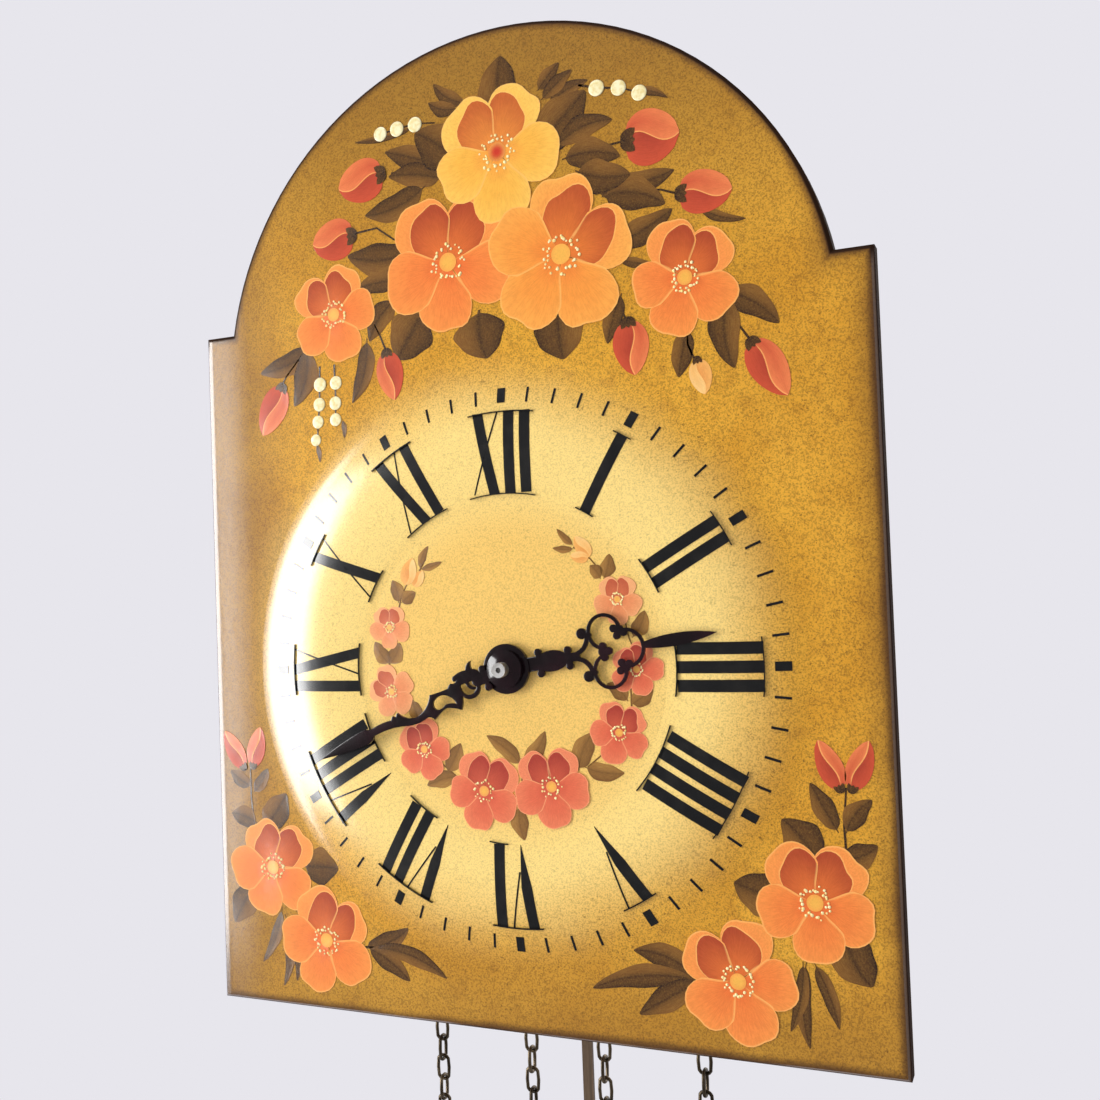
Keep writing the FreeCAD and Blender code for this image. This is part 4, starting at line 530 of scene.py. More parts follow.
WORN = ((240, 4), (0.4, 0.75), 0.2, (0.1, 0.3 * MM))
THICK = ((900, 3), (0.35, 0.7), 0.24, (0.2, 0.2 * MM))
petal_paint = flower_paint("petal_paint", screen(255, 192, 106), 0.7, 0.4, 0.9)
wreath_paint = flower_paint("wreath_petal_paint", screen(250, 176, 122), 0.4, 0.4, 0.9)
leaf_paint = flower_paint("leaf_paint", screen(98, 66, 30), 0.3, 1.0, 0.66, screen(170, 122, 44))
black_paint = dabbed_paint("numeral_paint", screen(10, 11, 12), screen(26, 25, 23), *WORN)
stamen_paint = dabbed_paint("stamen_paint", screen(255, 238, 178), screen(250, 214, 120), *THICK)
berry_paint = dabbed_paint("berry_paint", screen(250, 240, 196), screen(236, 216, 150), *THICK)
print("paints ready")

# %% [markdown]
# ## Numerals and minute marks
# The twelve Roman numerals stand with their feet to the centre. A thick bar is a straight band, the V has one
# tapered and one hair-thin arm, and the X crosses a thick arm with a thin one. Hair-thin arcs close their ends.
# The four is written with four bars, as dials do.

# %% Numerals
FEET = 52.0
HEADS = 76.5
BAR = 3.4
GAP = 1.8
WIDE = 8.6
HAIR = 0.5
SERIF = 0.35
OVERHANG = 1.3
V_POINT = 0.6
V_TIP = 0.15
V_THIN_START = 0.32
V_THIN_ASIDE = 1.0
NUMERALS = ["XII", "I", "II", "III", "IIII", "V", "VI", "VII", "VIII", "IX", "X", "XI"]
numerals = Paint("dial_numerals", black_paint)


def plain(tone):
    """A pigment that is the same all over a stroke."""
    return lambda across, along: tone


INK = plain(screen(14, 15, 17))


def dial_point(angle, out, aside):
    """A spot on the dial, so far out along the line at an angle and so far clockwise of it."""
    return (out * sin(angle) + aside * cos(angle),
            DIAL_HEIGHT + out * cos(angle) - aside * sin(angle))


def band(hour, low, high, low_width, high_width, start=0.0, full=1.0):
    """A straight stroke of a numeral, placed clockwise of the hour's line; full is where it stops widening."""

    def shape(across, along):
        share = start + (1.0 - start) * along
        width = low_width + (high_width - low_width) * min(share / full, 1.0)
        aside = low + (high - low) * share + across * width / 2
        return dial_point(radians(30 * hour), FEET + (HEADS - FEET) * share, aside)

    numerals.stroke(shape, INK, 0.0, (2, 18))


def arc(hour, radius, first, last):
    """A hair-thin arc along the ends of a numeral."""

    def shape(across, along):
        angle = radians(30 * hour) + (first + (last - first) * along) / radius
        return dial_point(angle, radius + across * SERIF / 2, 0.0)

    numerals.stroke(shape, INK, 0.01, (1, 16))


for hour, letters in enumerate(NUMERALS):
    widths = [BAR if letter == "I" else WIDE for letter in letters]
    left = -(sum(widths) + GAP * (len(letters) - 1)) / 2
    heads = [left - OVERHANG, -left + OVERHANG]
    feet = list(heads)
    for letter, width in zip(letters, widths):
        right = left + width
        if letter == "I":
            band(hour, left + BAR / 2, left + BAR / 2, BAR, BAR)
        elif letter == "X":
            band(hour, right - BAR / 2, left + BAR / 2, BAR, BAR)
            band(hour, left + HAIR / 2, right - HAIR / 2, HAIR, HAIR)
        else:
            point = left + V_POINT * width
            band(hour, point, left + BAR / 2, V_TIP, BAR, full=0.5)
            band(hour, point - V_THIN_ASIDE, right - HAIR / 2, HAIR, HAIR, V_THIN_START)
            feet[0] = right + GAP - OVERHANG
        left = right + GAP
    arc(hour, HEADS, *heads)
    if feet[1] - feet[0] > BAR:
        arc(hour, FEET, *feet)
print("numerals drawn:", " ".join(NUMERALS))

# %% Minute marks
MARK_LOW = 79.3
MARK_HIGH = 83.8
HOUR_HALF = 1.3
MINUTE_HALF = 0.36
for minute in range(60):
    half = HOUR_HALF if minute % 5 == 0 else MINUTE_HALF

    def mark(across, along):
        return dial_point(radians(6 * minute), MARK_LOW + (MARK_HIGH - MARK_LOW) * along, across * half)

    numerals.stroke(mark, INK, 0.0, (2, 5))
numerals.done()

# %% [markdown]
# ## Leaves and stems
# Leaves are brushed first, because the roses lie over them. A leaf is one loaded stroke that widens from its
# stalk and ends in a point, dark on one half and fading into the ground on the other. Stems are thin lines.

# %% Leaf strokes
DARK_LEAF = screen(50, 30, 14)
MID_LEAF = screen(84, 54, 24)
PALE_LEAF = screen(142, 98, 40)
WREATH_DARK = screen(120, 82, 40)
WREATH_PALE = screen(178, 132, 66)
STALK = 0.07
leaves = Paint("painted_leaves", leaf_paint)


def blend(first, second, share):
    """A colour between two others."""
    share = min(max(share, 0.0), 1.0)
    return tuple(a + (b - a) * share for a, b in zip(first, second))


def leaf(x0, h0, x1, h1, width, bend, dark=DARK_LEAF, pale=PALE_LEAF, lift=0.0):
    """A pointed leaf from its stalk to its tip; bend bows its middle to the right of that way."""
    length = hypot(x1 - x0, h1 - h0)
    ahead = ((x1 - x0) / length, (h1 - h0) / length)
    right = (ahead[1], -ahead[0])
    lean = uniform(-0.25, 0.25)
    tooth = uniform(0, 6)

    def shape(across, along):
        bow = 4 * along * (1 - along) * bend * length
        blade = min(max((along - STALK) / (1 - STALK), 0.0), 0.999)
        body = sin(pi * blade ** (0.78 + 0.2 * lean)) ** 0.78
        ripple = 1 + 0.06 * sin(along * 13 + tooth) * abs(across)
        aside = bow + across * width / 2 * (0.05 + 0.95 * body) * ripple
        return (x0 + ahead[0] * along * length + right[0] * aside,
                h0 + ahead[1] * along * length + right[1] * aside)

    def pigment(across, along):
        half = 1 - (2 * abs(across) - 1) ** 2
        lit = (0.5 + 0.5 * across * (1 if lean > 0 else -1)) ** 1.5
        tone = blend(dark, pale, 0.9 * lit * (0.3 + 0.7 * sin(pi * along)) + 0.2 * half)
        return blend(tone, dark, 0.6 * exp(-(across / 0.08) ** 2))

    leaves.stroke(shape, pigment, lift, (12, 16))


def stem(points, width=0.7, tone=DARK_LEAF):
    """A thin brush line through a few points."""
    spots = [Vector(p) for p in points]

    def shape(across, along):
        reach = along * (len(spots) - 1)
        k = min(int(reach), len(spots) - 2)
        share = reach - k
        ahead = (spots[k + 1] - spots[k]).normalized()
        before = (spots[k] - spots[k - 1]).normalized() if k else ahead
        after = (spots[k + 2] - spots[k + 1]).normalized() if k + 2 < len(spots) else ahead
        way = ((before + ahead) * (1 - share) + (ahead + after) * share).normalized()
        place = spots[k].lerp(spots[k + 1], share)
        half = across * width / 2 * (1 - 0.4 * along)
        return place.x + way.y * half, place.y - way.x * half

    leaves.stroke(shape, plain(tone), 0.0, (1, 6 * (len(spots) - 1)))


print("leaf strokes ready")

# %% Leaves: across and height of the stalk, of the tip, and the width
ARCH_LEAVES = [
    (2, 276, 3, 293, 13), (-9, 281, -20, 289, 5), (-12, 280, -22, 283.5, 5), (15, 280, 22, 287, 5),
    (16, 277, 26, 284, 5), (18, 275, 31, 280, 4.5), (12, 262, 30, 277, 15), (20, 262, 38, 267, 7.5),
    (22, 258, 40, 256, 9), (26, 254, 43, 250, 10), (32, 246, 56, 249, 8), (34, 245, 53, 240, 10),
    (36, 230, 55, 238, 8), (38, 226, 49, 223, 3), (-12, 262, -27, 275, 15), (-18, 263, -38, 271, 8),
    (-18, 259, -37, 263, 8), (-24, 258, -46, 252, 9), (-30, 238, -53, 240, 11), (-34, 230, -50, 229, 7),
    (-36, 224, -46, 212, 8), (-26, 219, -36, 205, 16), (-7, 217, -5, 202, 17), (19, 214, 20, 199, 16),
    (39, 216, 34, 202, 6), (-66, 212, -88, 206, 8), (-70, 213, -75, 194, 9), (-47, 213, -53, 193, 6.5),
    (68, 213, 84, 202, 8), (70, 212, 71, 191, 9), (58, 204, 55, 190, 6.5), (62, 238, 76, 232, 3),
    (-27, 277, -49, 276, 2.6), (44, 274, 55, 270, 2.6), (-57, 188, -56.5, 182, 1.8), (-67, 181, -66, 175, 1.8),
]
CORNER_LEAVES = [
    (-97, 70, -105, 75, 5), (-96, 68, -90, 76, 4.5), (-92, 57, -83, 68, 10), (-95, 58, -105, 61, 7),
    (-77, 45, -64, 45, 12), (-96, 38, -105, 25, 10), (-86, 31, -94, 13, 4), (-85, 29, -86, 6, 4.4),
    (-83, 27, -81, 8, 4), (-55, 21, -39, 28, 6.5), (-54, 21, -39, 12, 6.5), (-52, 21, -26, 14, 5.5),
    (94, 64, 87, 77, 6), (96, 64, 103, 73, 6), (88, 55, 79, 67, 11), (94, 57, 104, 61, 7),
    (78, 44, 65, 49, 12), (95, 38, 101, 24, 12), (83, 29, 79, 10, 4), (84, 29, 84, 6, 4.6),
    (86, 29, 92, 12, 4.2), (54, 21, 35, 28, 7.5), (54, 21, 22, 16, 6.5), (54, 21, 36, 10, 7.5),
]
WREATH_LEAVES = [
    (-29, 139, -26, 146, 2.6), (-29, 139, -21.5, 141, 2.2), (-37, 129, -39, 136, 4.6),
    (-36, 129, -31, 132, 4.4), (-41, 110, -46, 117, 5), (-41, 110, -37, 116.5, 5.2), (-33, 99, -31, 92, 4.6),
    (-22, 77, -17, 86, 5.4), (-18, 76, -29, 73, 5.2), (3, 80, -8, 88.5, 5), (3, 80, 11, 90, 5),
    (2, 68, 3, 58, 5.6), (21, 79, 26, 90, 6.6), (23, 80, 35, 78.5, 5.4), (37, 99, 31, 104, 5),
    (38, 98, 44.5, 102.5, 5.4), (39, 117, 43, 124.5, 5), (30, 134, 27, 138, 4), (31, 134, 33, 141, 4.6),
    (22, 144, 17, 149, 2.2), (22, 143, 15.5, 143.5, 2.2),
]
for number, place in enumerate(ARCH_LEAVES + CORNER_LEAVES):
    leaf(*place, uniform(-0.12, 0.12), lift=0.004 * (number % 5))
for place in WREATH_LEAVES:
    leaf(*place, uniform(-0.1, 0.1), WREATH_DARK, WREATH_PALE)
print("leaves laid:", len(leaves.copies))

# %% Stems
STEMS = [
    [(-39, 277), (-33, 277.6), (-27, 278), (-20, 277)], [(28, 279), (34, 277), (41, 275.6), (47, 273)],
    [(-36, 264), (-30, 262), (-24, 259)], [(-50, 247), (-42, 247.5), (-36, 243), (-30, 240)],
    [(42, 260), (34, 259.5), (28, 260)], [(57, 242), (52, 244), (46, 245)],
    [(-81, 200), (-78, 204), (-72, 210)], [(-40, 208), (-42, 213), (-44, 217)],
    [(40, 208), (38, 213), (37, 218)], [(60, 194), (58, 199), (58, 204)], [(76, 198), (72, 204), (70, 210)],
    [(-59.5, 206), (-59.3, 198), (-59.6, 186)], [(-65, 206), (-65.5, 194), (-67, 180)],
    [(-96, 56), (-97, 66), (-97, 76)], [(96, 54), (95.5, 66), (96.5, 76)],
    [(-56, 21), (-48, 21.2), (-38, 20)], [(55, 21), (46, 21.5), (36, 20)],
]
WREATH_STEMS = [
    [(-31, 136), (-29, 139), (-27, 142)], [(-41, 114), (-41, 110), (-40, 106)],
    [(-37, 127), (-36, 131), (-33, 136)], [(-24, 80), (-20, 77), (-16, 74)], [(3, 82), (3, 76), (2, 66)],
    [(24, 80), (29, 84), (33, 88)], [(38, 97), (38, 102), (39, 106)], [(37, 122), (38, 117), (40, 112)],
    [(22, 143.5), (27, 140), (32, 134)],
]
for points in STEMS:
    stem(points)
for points in WREATH_STEMS:
    stem(points, 0.45, WREATH_DARK)
leaves.done()

# %% [markdown]
# ## Roses
# A wild rose has five broad petals. The two upper ones are cupped: their throat is a deep red-brown and their
# lip turns over and catches the light. So a cupped petal is two strokes, a dark throat and a light lip over it.
# A petal is drawn from the flower's heart outwards, as a fan whose reach falls off to its sides.

# %% Colours of the roses: a petal's middle, its foot and its tip, a throat's foot and its depth, and a lip
PALETTES = {
    "yellow": [(253, 186, 72), (248, 156, 58), (255, 204, 96), (236, 142, 58), (200, 100, 42), (255, 198, 88)],
    "orange": [(250, 156, 62), (242, 128, 48), (254, 176, 80), (232, 124, 48), (190, 84, 38), (252, 164, 74)],
    "coral": [(246, 134, 60), (236, 108, 46), (252, 158, 74), (228, 114, 48), (178, 72, 36), (250, 150, 72)],
    "rosy": [(230, 110, 76), (212, 84, 60), (242, 138, 96), (208, 90, 62), (172, 60, 46), (240, 138, 96)],
    "faded": [(240, 150, 96), (230, 126, 80), (248, 178, 120), (218, 116, 74), (194, 92, 60), (246, 174, 116)],
}
for name, shades in PALETTES.items():
    PALETTES[name] = [screen(*shade) for shade in shades]
HEART = screen(250, 186, 80)
RED_HEART = screen(212, 56, 34)
print(len(PALETTES), "rose colours mixed")

# %% Petal strokes
FAN = radians(38)
SIDE_FALL = 0.38
HEART_SHARE = 0.07
LIP_LEAST = 0.09
LIP_TURN = 0.30
PETAL_FINE = (14, 14)


def ease(share):
    """Goes from 0 to 1 with a soft start and end."""
    share = min(max(share, 0.0), 1.0)
    return share * share * (3 - 2 * share)


def petal_outline(centre, angle, reach):
    """Returns the petal's shape and the distance of a point from its rim."""
    wave, notch = uniform(0, 6), uniform(-0.3, 0.3)
    fan = FAN * uniform(0.95, 1.06)

    def rim_reach(across):
        dip = 0.05 * exp(-((across - notch) / 0.22) ** 2)
        ripple = 0.014 * sin(4.4 * across + wave) + 0.006 * sin(10 * across + 2 * wave)
        return reach * (1 - SIDE_FALL * abs(across) ** 2.7 - dip + ripple)

    def outward(across, along):
        return rim_reach(across) * (HEART_SHARE + (1 - HEART_SHARE) * along)

    def shape(across, along):
        out = outward(across, along)
        way = angle + fan * across * (0.86 + 0.20 * sin(pi * 0.62 * along))
        return centre[0] + out * sin(way), centre[1] + out * cos(way)

    def rim(across, along):
        near_heart = max(0.0, 0.4 - along) * 2
        to_side = (1 - abs(across)) * fan * outward(across, along)
        return min(rim_reach(across) * (1 - along), to_side) + near_heart

    return shape, rim


def open_petal(paint, centre, angle, reach, palette, lift):
    """Deep at the heart, light towards the tip, a little lighter on one side."""
    shape, rim = petal_outline(centre, angle, reach)
    lean = uniform(-0.2, 0.2)

    def pigment(across, along):
        tone = blend(palette[1], palette[0], along * 2.2)
        return blend(tone, palette[2], max(0.0, along - 0.55) * 1.5 + lean * across)

    paint.stroke(shape, pigment, lift, PETAL_FINE, rim)


def cupped_petal(paint, centre, angle, reach, palette, lift, hand):
    """A throat with a lip turned over on one hand: 1 is the clockwise side."""
    shape, rim = petal_outline(centre, angle, reach)

    def throat(across, along):
        return blend(palette[3], palette[4], (along - 0.15) * 1.5)

    paint.stroke(shape, throat, lift, PETAL_FINE, rim)
    wave = uniform(0, 6)

    def lip_edge(across):
        turned = ease((across * hand + 0.72) / 1.5)
        return 1 - LIP_LEAST - LIP_TURN * turned - 0.035 * sin(4.6 * across + wave) * turned

    def lip(across, along):
        edge = lip_edge(across)
        return shape(across, edge + (1 - edge) * along)

    def lip_rim(across, along):
        return min(along, 1 - along) * reach * (1 - lip_edge(across))

    def lip_pigment(across, along):
        return blend(palette[5], palette[2], along)

    paint.stroke(lip, lip_pigment, lift + 0.012, (16, 6), lip_rim)


print("petal strokes ready")

# %% [markdown]
# ## Hearts and stamens
# The heart of a rose is a small dab of yellow, with a ring of cream dots round it. There are hundreds of dots,
# so the dot is modelled once from an eight-sided disc, with few faces, and each dot is a copy of it. The
# berries are few and large: they get the same drop with more sides and more steps.


# %% Drops of paint
def mode(name):
    """Goes into edit mode, or back to object mode."""
    bpy.ops.object.mode_set(mode=name)


def drop_mesh(sides, steps):
    """A disc of radius 1, extruded and then inset and raised in steps, each one flatter."""
    select()
    bpy.ops.mesh.primitive_circle_add(vertices=sides, radius=1.0, fill_type="NGON")
    mode("EDIT")
    bpy.ops.mesh.select_all(action="SELECT")
    bpy.ops.mesh.extrude_region_move(TRANSFORM_OT_translate={"value": (0, 0, 0.5)})
    for step in range(steps):
        bpy.ops.mesh.inset(thickness=0.7 / steps, depth=0.5 * (steps - step) / steps ** 2)
    bpy.ops.mesh.select_all(action="SELECT")
    bpy.ops.mesh.normals_make_consistent(inside=False)
    mode("OBJECT")
    mesh = bpy.context.object.data.copy()
    bpy.ops.object.delete()
    return mesh


DROP_TALL = 1.4
DROP_SUNK = 0.35


class Dots(Layer):
    """Raised drops of thick paint, riding on the case."""

    def drop(self, model, across, height, radius, lift, tall):
        mesh = model.copy()
        places = []
        for vertex in mesh.vertices:
            x, z, up = vertex.co
            rise = (up * DROP_TALL - DROP_SUNK) * tall
            places.extend(on_board(across + x * radius, height + z * radius, lift + rise))
        mesh.vertices.foreach_set("co", places)
        self.lay(mesh)

    def done(self):
        piece = self.join()
        bpy.ops.object.shade_smooth()
        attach(piece, "case")


dot_mesh = drop_mesh(8, 1)
berry_mesh = drop_mesh(28, 5)
print("a dot has", len(dot_mesh.polygons), "faces, a berry", len(berry_mesh.polygons))

# %% Roses: across, height, radius, tilt in degrees, colour, and which petals are cupped if not the upper two
ARCH_ROSES = [
    (-59, 222, 16.5, 17, "coral"), (58, 218, 17, 53, "coral"), (-17, 233, 22.5, 38, "coral"),
    (1, 264, 22, 30, "yellow"), (20.6, 230, 23.5, 5, "orange", (0, 1)),
]
CORNER_ROSES = [
    (-89, 44, 17, 52, "coral"), (-69, 22, 17.5, 54, "coral"), (87, 45, 17.5, 36, "coral"),
    (65, 22, 17.5, 16, "coral"),
]
WREATH_ROSES = [
    (-40.5, 121.5, 7.2, 36, "faded"), (-40.5, 101.5, 8.4, 56, "faded", (3, 4)), (-29.5, 84, 9.4, 12, "rosy"),
    (-9.5, 72, 12.4, 52, "rosy"), (12.5, 74, 12.8, 28, "rosy"), (34, 90, 9.2, 55, "rosy"),
    (40, 108, 8.2, 18, "rosy"), (35, 128, 7.4, 36, "faded"),
]
UPPER_TWO = (0, 4)
HEART_SIZE = 0.13
LARGE = 14
hearts = Paint("rose_hearts", petal_paint)
stamens = Dots("rose_stamens", stamen_paint)


def heart(x, h, radius, tone, rim_tone, lift):
    """A round dab: the squares of the grid become rings."""

    def disc(across, along):
        up = 2 * along - 1
        reach = max(abs(across), abs(up)) / (hypot(across, up) or 1.0) * radius
        return x + across * reach, h + up * reach

    def pigment(across, along):
        return blend(tone, rim_tone, (max(abs(across), abs(2 * along - 1)) - 0.4) * 0.9)

    hearts.stroke(disc, pigment, lift, (8, 8))


def rose(paint, lift, x, h, radius, tilt, palette_name, cups=UPPER_TWO):
    """Five petals, a heart and its ring of stamens."""
    palette = PALETTES[palette_name]
    between = radians(tilt + 36 * (sum(cups) - (5 if cups == UPPER_TWO else 0)))
    for place, k in enumerate(sorted(range(5), key=lambda k: k not in cups)):
        angle = radians(tilt + 72 * k + uniform(-4, 4))
        reach = radius * uniform(0.95, 1.05)
        petal = (paint, (x, h), angle, reach, palette, lift + 0.02 * place)
        if k in cups:
            cupped_petal(*petal, 1 if sin(angle - between) > 0 else -1)
        else:
            open_petal(*petal)
    tone = RED_HEART if palette_name == "yellow" else HEART
    heart(x, h, radius * HEART_SIZE, tone, palette[2], lift + 0.115)
    count = 34 if radius > LARGE else 20
    for k in range(count):
        way = radians(360 / count * k + uniform(-7, 7))
        out = radius * uniform(0.17, 0.27)
        size = (0.24 + 0.012 * radius) * uniform(0.6, 1.1)
        stamens.drop(dot_mesh, x + out * sin(way), h + out * cos(way), size, lift + 0.2, 0.12)


for name, roses, paint in (("arch_rose_petals", ARCH_ROSES, petal_paint),
                           ("corner_rose_petals", CORNER_ROSES, petal_paint),
                           ("wreath_rose_petals", WREATH_ROSES, wreath_paint)):
    petals = Paint(name, paint)
    for number, data in enumerate(roses):
        rose(petals, 0.03 + 0.05 * (number % 5), *data)
    petals.done()
hearts.done()
stamens.done()

# %% [markdown]
# ## Buds and berries
# A closed bud is an egg in shadow with one lit petal wrapped over it. The lit petal's free edge runs in an S
# from the cup to the tip and carries the light line. Each bud sits in a small dark cup at the end of a stem,
# and strings of round cream berries hang beside them.

# %% Bud strokes
RED_BUD = [screen(166, 56, 38), screen(208, 82, 50), screen(242, 136, 80)]
PALE_BUD = [screen(236, 150, 74), screen(248, 182, 98), screen(255, 212, 138)]
BLUNT = 0.48
SLIM = 0.6
buds = Paint("rose_buds", petal_paint)


def egg(base, tip, width, blunt, edge=None, hand=1):
    """Between base and tip: the whole egg, or its part on one hand of a free edge; returns shape and rim."""
    start, way = Vector(base), Vector(tip) - Vector(base)
    ahead = way.normalized()
    aside = Vector((ahead.y, -ahead.x)) * hand

    def ends(along):
        half = width / 2 * sin(pi * min(max(along, 0.002), 0.998) ** 0.8) ** blunt
        return (half * edge(along) if edge else -half), half

    def shape(across, along):
        first, last = ends(along)
        spot = start + way * along + aside * (first + (last - first) * (across * hand + 1) / 2)
        return spot.x, spot.y

    def rim(across, along):
        first, last = ends(along)
        return (across * hand + 1) / 2 * (last - first) * 1.3 + max(0.0, 0.2 - along) * 4

    return shape, rim


def bud(base, tip, width, hand, blunt=SLIM, colours=RED_BUD):
    """A shadowed egg, and the lit petal that comes round it from one hand: 1 is the right."""
    deep, middle, light = colours
    sway = uniform(-0.1, 0.1)

    def free_edge(along):
        return 0.2 + sway - 0.55 * ease((along - 0.2) / 0.65)

    def shadow(across, along):
        turned = 0.5 + 0.5 * across * hand
        return blend(middle, deep, 1.5 * turned * sin(pi * along))

    def lit(across, along):
        return blend(middle, light, 0.75 * along + 0.35 * abs(across))

    whole, _ = egg(base, tip, width, blunt)
    buds.stroke(whole, shadow, 0.03, (12, 12))
    wrapped_over, rim = egg(base, tip, width, blunt, free_edge, hand)
    buds.stroke(wrapped_over, lit, 0.06, (12, 14), rim)


print("bud strokes ready")

# %% Buds: foot, tip and width
ROUND_BUDS = [((-39, 264.5), (-55.5, 262), 14), ((-50.5, 246.5), (-66, 245.5), 13.5),
              ((41.5, 260), (58, 259.5), 16.5), ((57, 242), (72.5, 241), 12.5)]
HANGING_BUDS = [((-79.5, 201), (-88, 185.5), 10.5), ((-40, 208), (-37.5, 192.5), 9.5),
                ((40.5, 208), (42, 192), 11), ((60.5, 194.5), (62.5, 184.5), 6.5),
                ((76, 198), (85.5, 182), 10.5)]
CORNER_BUDS = [((-99.5, 76), (-107, 88), 7), ((-96, 76.5), (-92.5, 89.5), 7),
               ((95, 75.5), (89.5, 88.5), 7), ((98, 75.5), (103, 88.5), 7)]
WREATH_BUDS = [((-34.5, 134.5), (-31.5, 142.5), 5.4), ((-31.5, 134), (-28, 138.5), 4),
               ((27, 140.5), (22.5, 146.5), 4.6), ((26.5, 140), (21, 141), 3.4)]
PALE_ONE = HANGING_BUDS[3]
for number, shape in enumerate(ROUND_BUDS):
    bud(*shape, 1 if number < 2 else -1, BLUNT)
for number, shape in enumerate(HANGING_BUDS + CORNER_BUDS):
    bud(*shape, 1 if number % 2 else -1, colours=PALE_BUD if shape == PALE_ONE else RED_BUD)
for shape in WREATH_BUDS:
    bud(*shape, 1, colours=PALE_BUD)
buds.done()

# %% Leafy cups
CUP = 0.2
cups = Paint("bud_cups", leaf_paint)


def cup_pigment(across, along):
    return blend(DARK_LEAF, MID_LEAF, along)


for base, tip, width in ROUND_BUDS + HANGING_BUDS + CORNER_BUDS:
    start, way = Vector(base), (Vector(tip) - Vector(base)).normalized()
    for hand in (-1, 0, 1):
        end = start + way * width * CUP + Vector((way.y, -way.x)) * hand * width * CUP
        shape, _ = egg(start - way, end, width * CUP, SLIM)
        cups.stroke(shape, cup_pigment, 0.13 + 0.02 * hand, (4, 6))
cups.done()

# %% Berries
BERRIES = [
    (-39.5, 277, 2.3), (-33.5, 277.5, 2.4), (-27, 277.7, 2.4), (33.6, 277, 2.4), (40.4, 275.7, 2.3),
    (46.6, 273, 2.3), (-65, 200, 2.3), (-65.5, 193.6, 2.2), (-66.2, 188, 2.1), (-67.2, 182.2, 1.9),
    (-59, 200, 2.2), (-59.4, 193.5, 2.2), (-59.5, 188.2, 2.1),
]
berries = Dots("cream_berries", berry_paint)
for place in BERRIES:
    berries.drop(berry_mesh, *place, PAINT_LIFT + 0.05, 0.25)
berries.done()

# %% [markdown]
# ## Hands
# The hands are stamped from sheet and lacquered nearly black. Stamping rolls the edges over a little, and that
# is what glints. The CAD hands have sharp edges, so in a merged copy of each the front is inset and raised by a
# hair, which leaves a sloping rim all round, in the openings too.

# %% Hands
ROLLED_EDGE = 0.22
ROLLED_RISE = 0.06
MERGE = 0.000002
for node, body in (("hour_hand", "hour_train"), ("minute_hand", "minute_train")):
    hand = bpy.data.objects.new(node + "_look", frame["nodes"][node].data.copy())
    scene.collection.objects.link(hand)
    select(hand)
    mode("EDIT")
    bpy.ops.mesh.select_all(action="SELECT")
    bpy.ops.mesh.customdata_custom_splitnormals_clear()
    bpy.ops.mesh.remove_doubles(threshold=MERGE)
    bpy.ops.mesh.select_all(action="DESELECT")
    mode("OBJECT")
    for face in hand.data.polygons:
        face.select = face.normal.y < -0.99
    mode("EDIT")
    bpy.ops.mesh.select_mode(type="FACE")
    bpy.ops.mesh.inset(thickness=ROLLED_EDGE * MM, depth=ROLLED_RISE * MM)
    mode("OBJECT")
    bpy.ops.object.shade_smooth_by_angle(angle=radians(24))
    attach(hand, body)
    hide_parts(node)
    print(node, "has", len(hand.data.polygons), "faces")

# %% [markdown]
# ## The nut
# The nut that holds the hands is a turned cap with a low dome. Turning is what Spin does in edit mode: a ring
# of points is laid along half of the cap's section, and Spin carries it once round the axis of the hands.

# %% Nut
NUT_BACK = 71.995
NUT_RADIUS = 5.6
NUT_BORE = 2.2
NUT_SIDE = 0.35
NUT_TALL = 1.4
DOME_STEPS = 10
DOME_FULLNESS = 1.3
SPIN_STEPS = 48
section = [(NUT_BORE, 0.0), (NUT_RADIUS, 0.0)]
for k in range(DOME_STEPS + 1):
    share = k / DOME_STEPS
    section.append((NUT_RADIUS + (NUT_BORE - NUT_RADIUS) * share,
                    NUT_SIDE + (NUT_TALL - NUT_SIDE) * (1 - (1 - share) ** DOME_FULLNESS)))
select()
bpy.ops.mesh.primitive_circle_add(vertices=len(section), radius=1.0)
nut = bpy.context.object
nut.name = "hand_nut_look"
for vertex, (out, tall) in zip(nut.data.vertices, section):
    vertex.co = (out * MM, -(NUT_BACK + tall) * MM, DIAL_Z * MM)
mode("EDIT")
bpy.ops.mesh.select_all(action="SELECT")
bpy.ops.mesh.spin(steps=SPIN_STEPS, angle=2 * pi, center=(0, 0, DIAL_Z * MM), axis=(0, 1, 0))
bpy.ops.mesh.select_all(action="SELECT")
bpy.ops.mesh.remove_doubles(threshold=MERGE)
bpy.ops.mesh.normals_make_consistent(inside=False)
mode("OBJECT")
bpy.ops.object.shade_smooth_by_angle(angle=radians(40))
nut.data.materials.append(hand_paint.material)
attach(nut, "minute_train")
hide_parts("hand_nut")
print("nut has", len(nut.data.polygons), "faces")
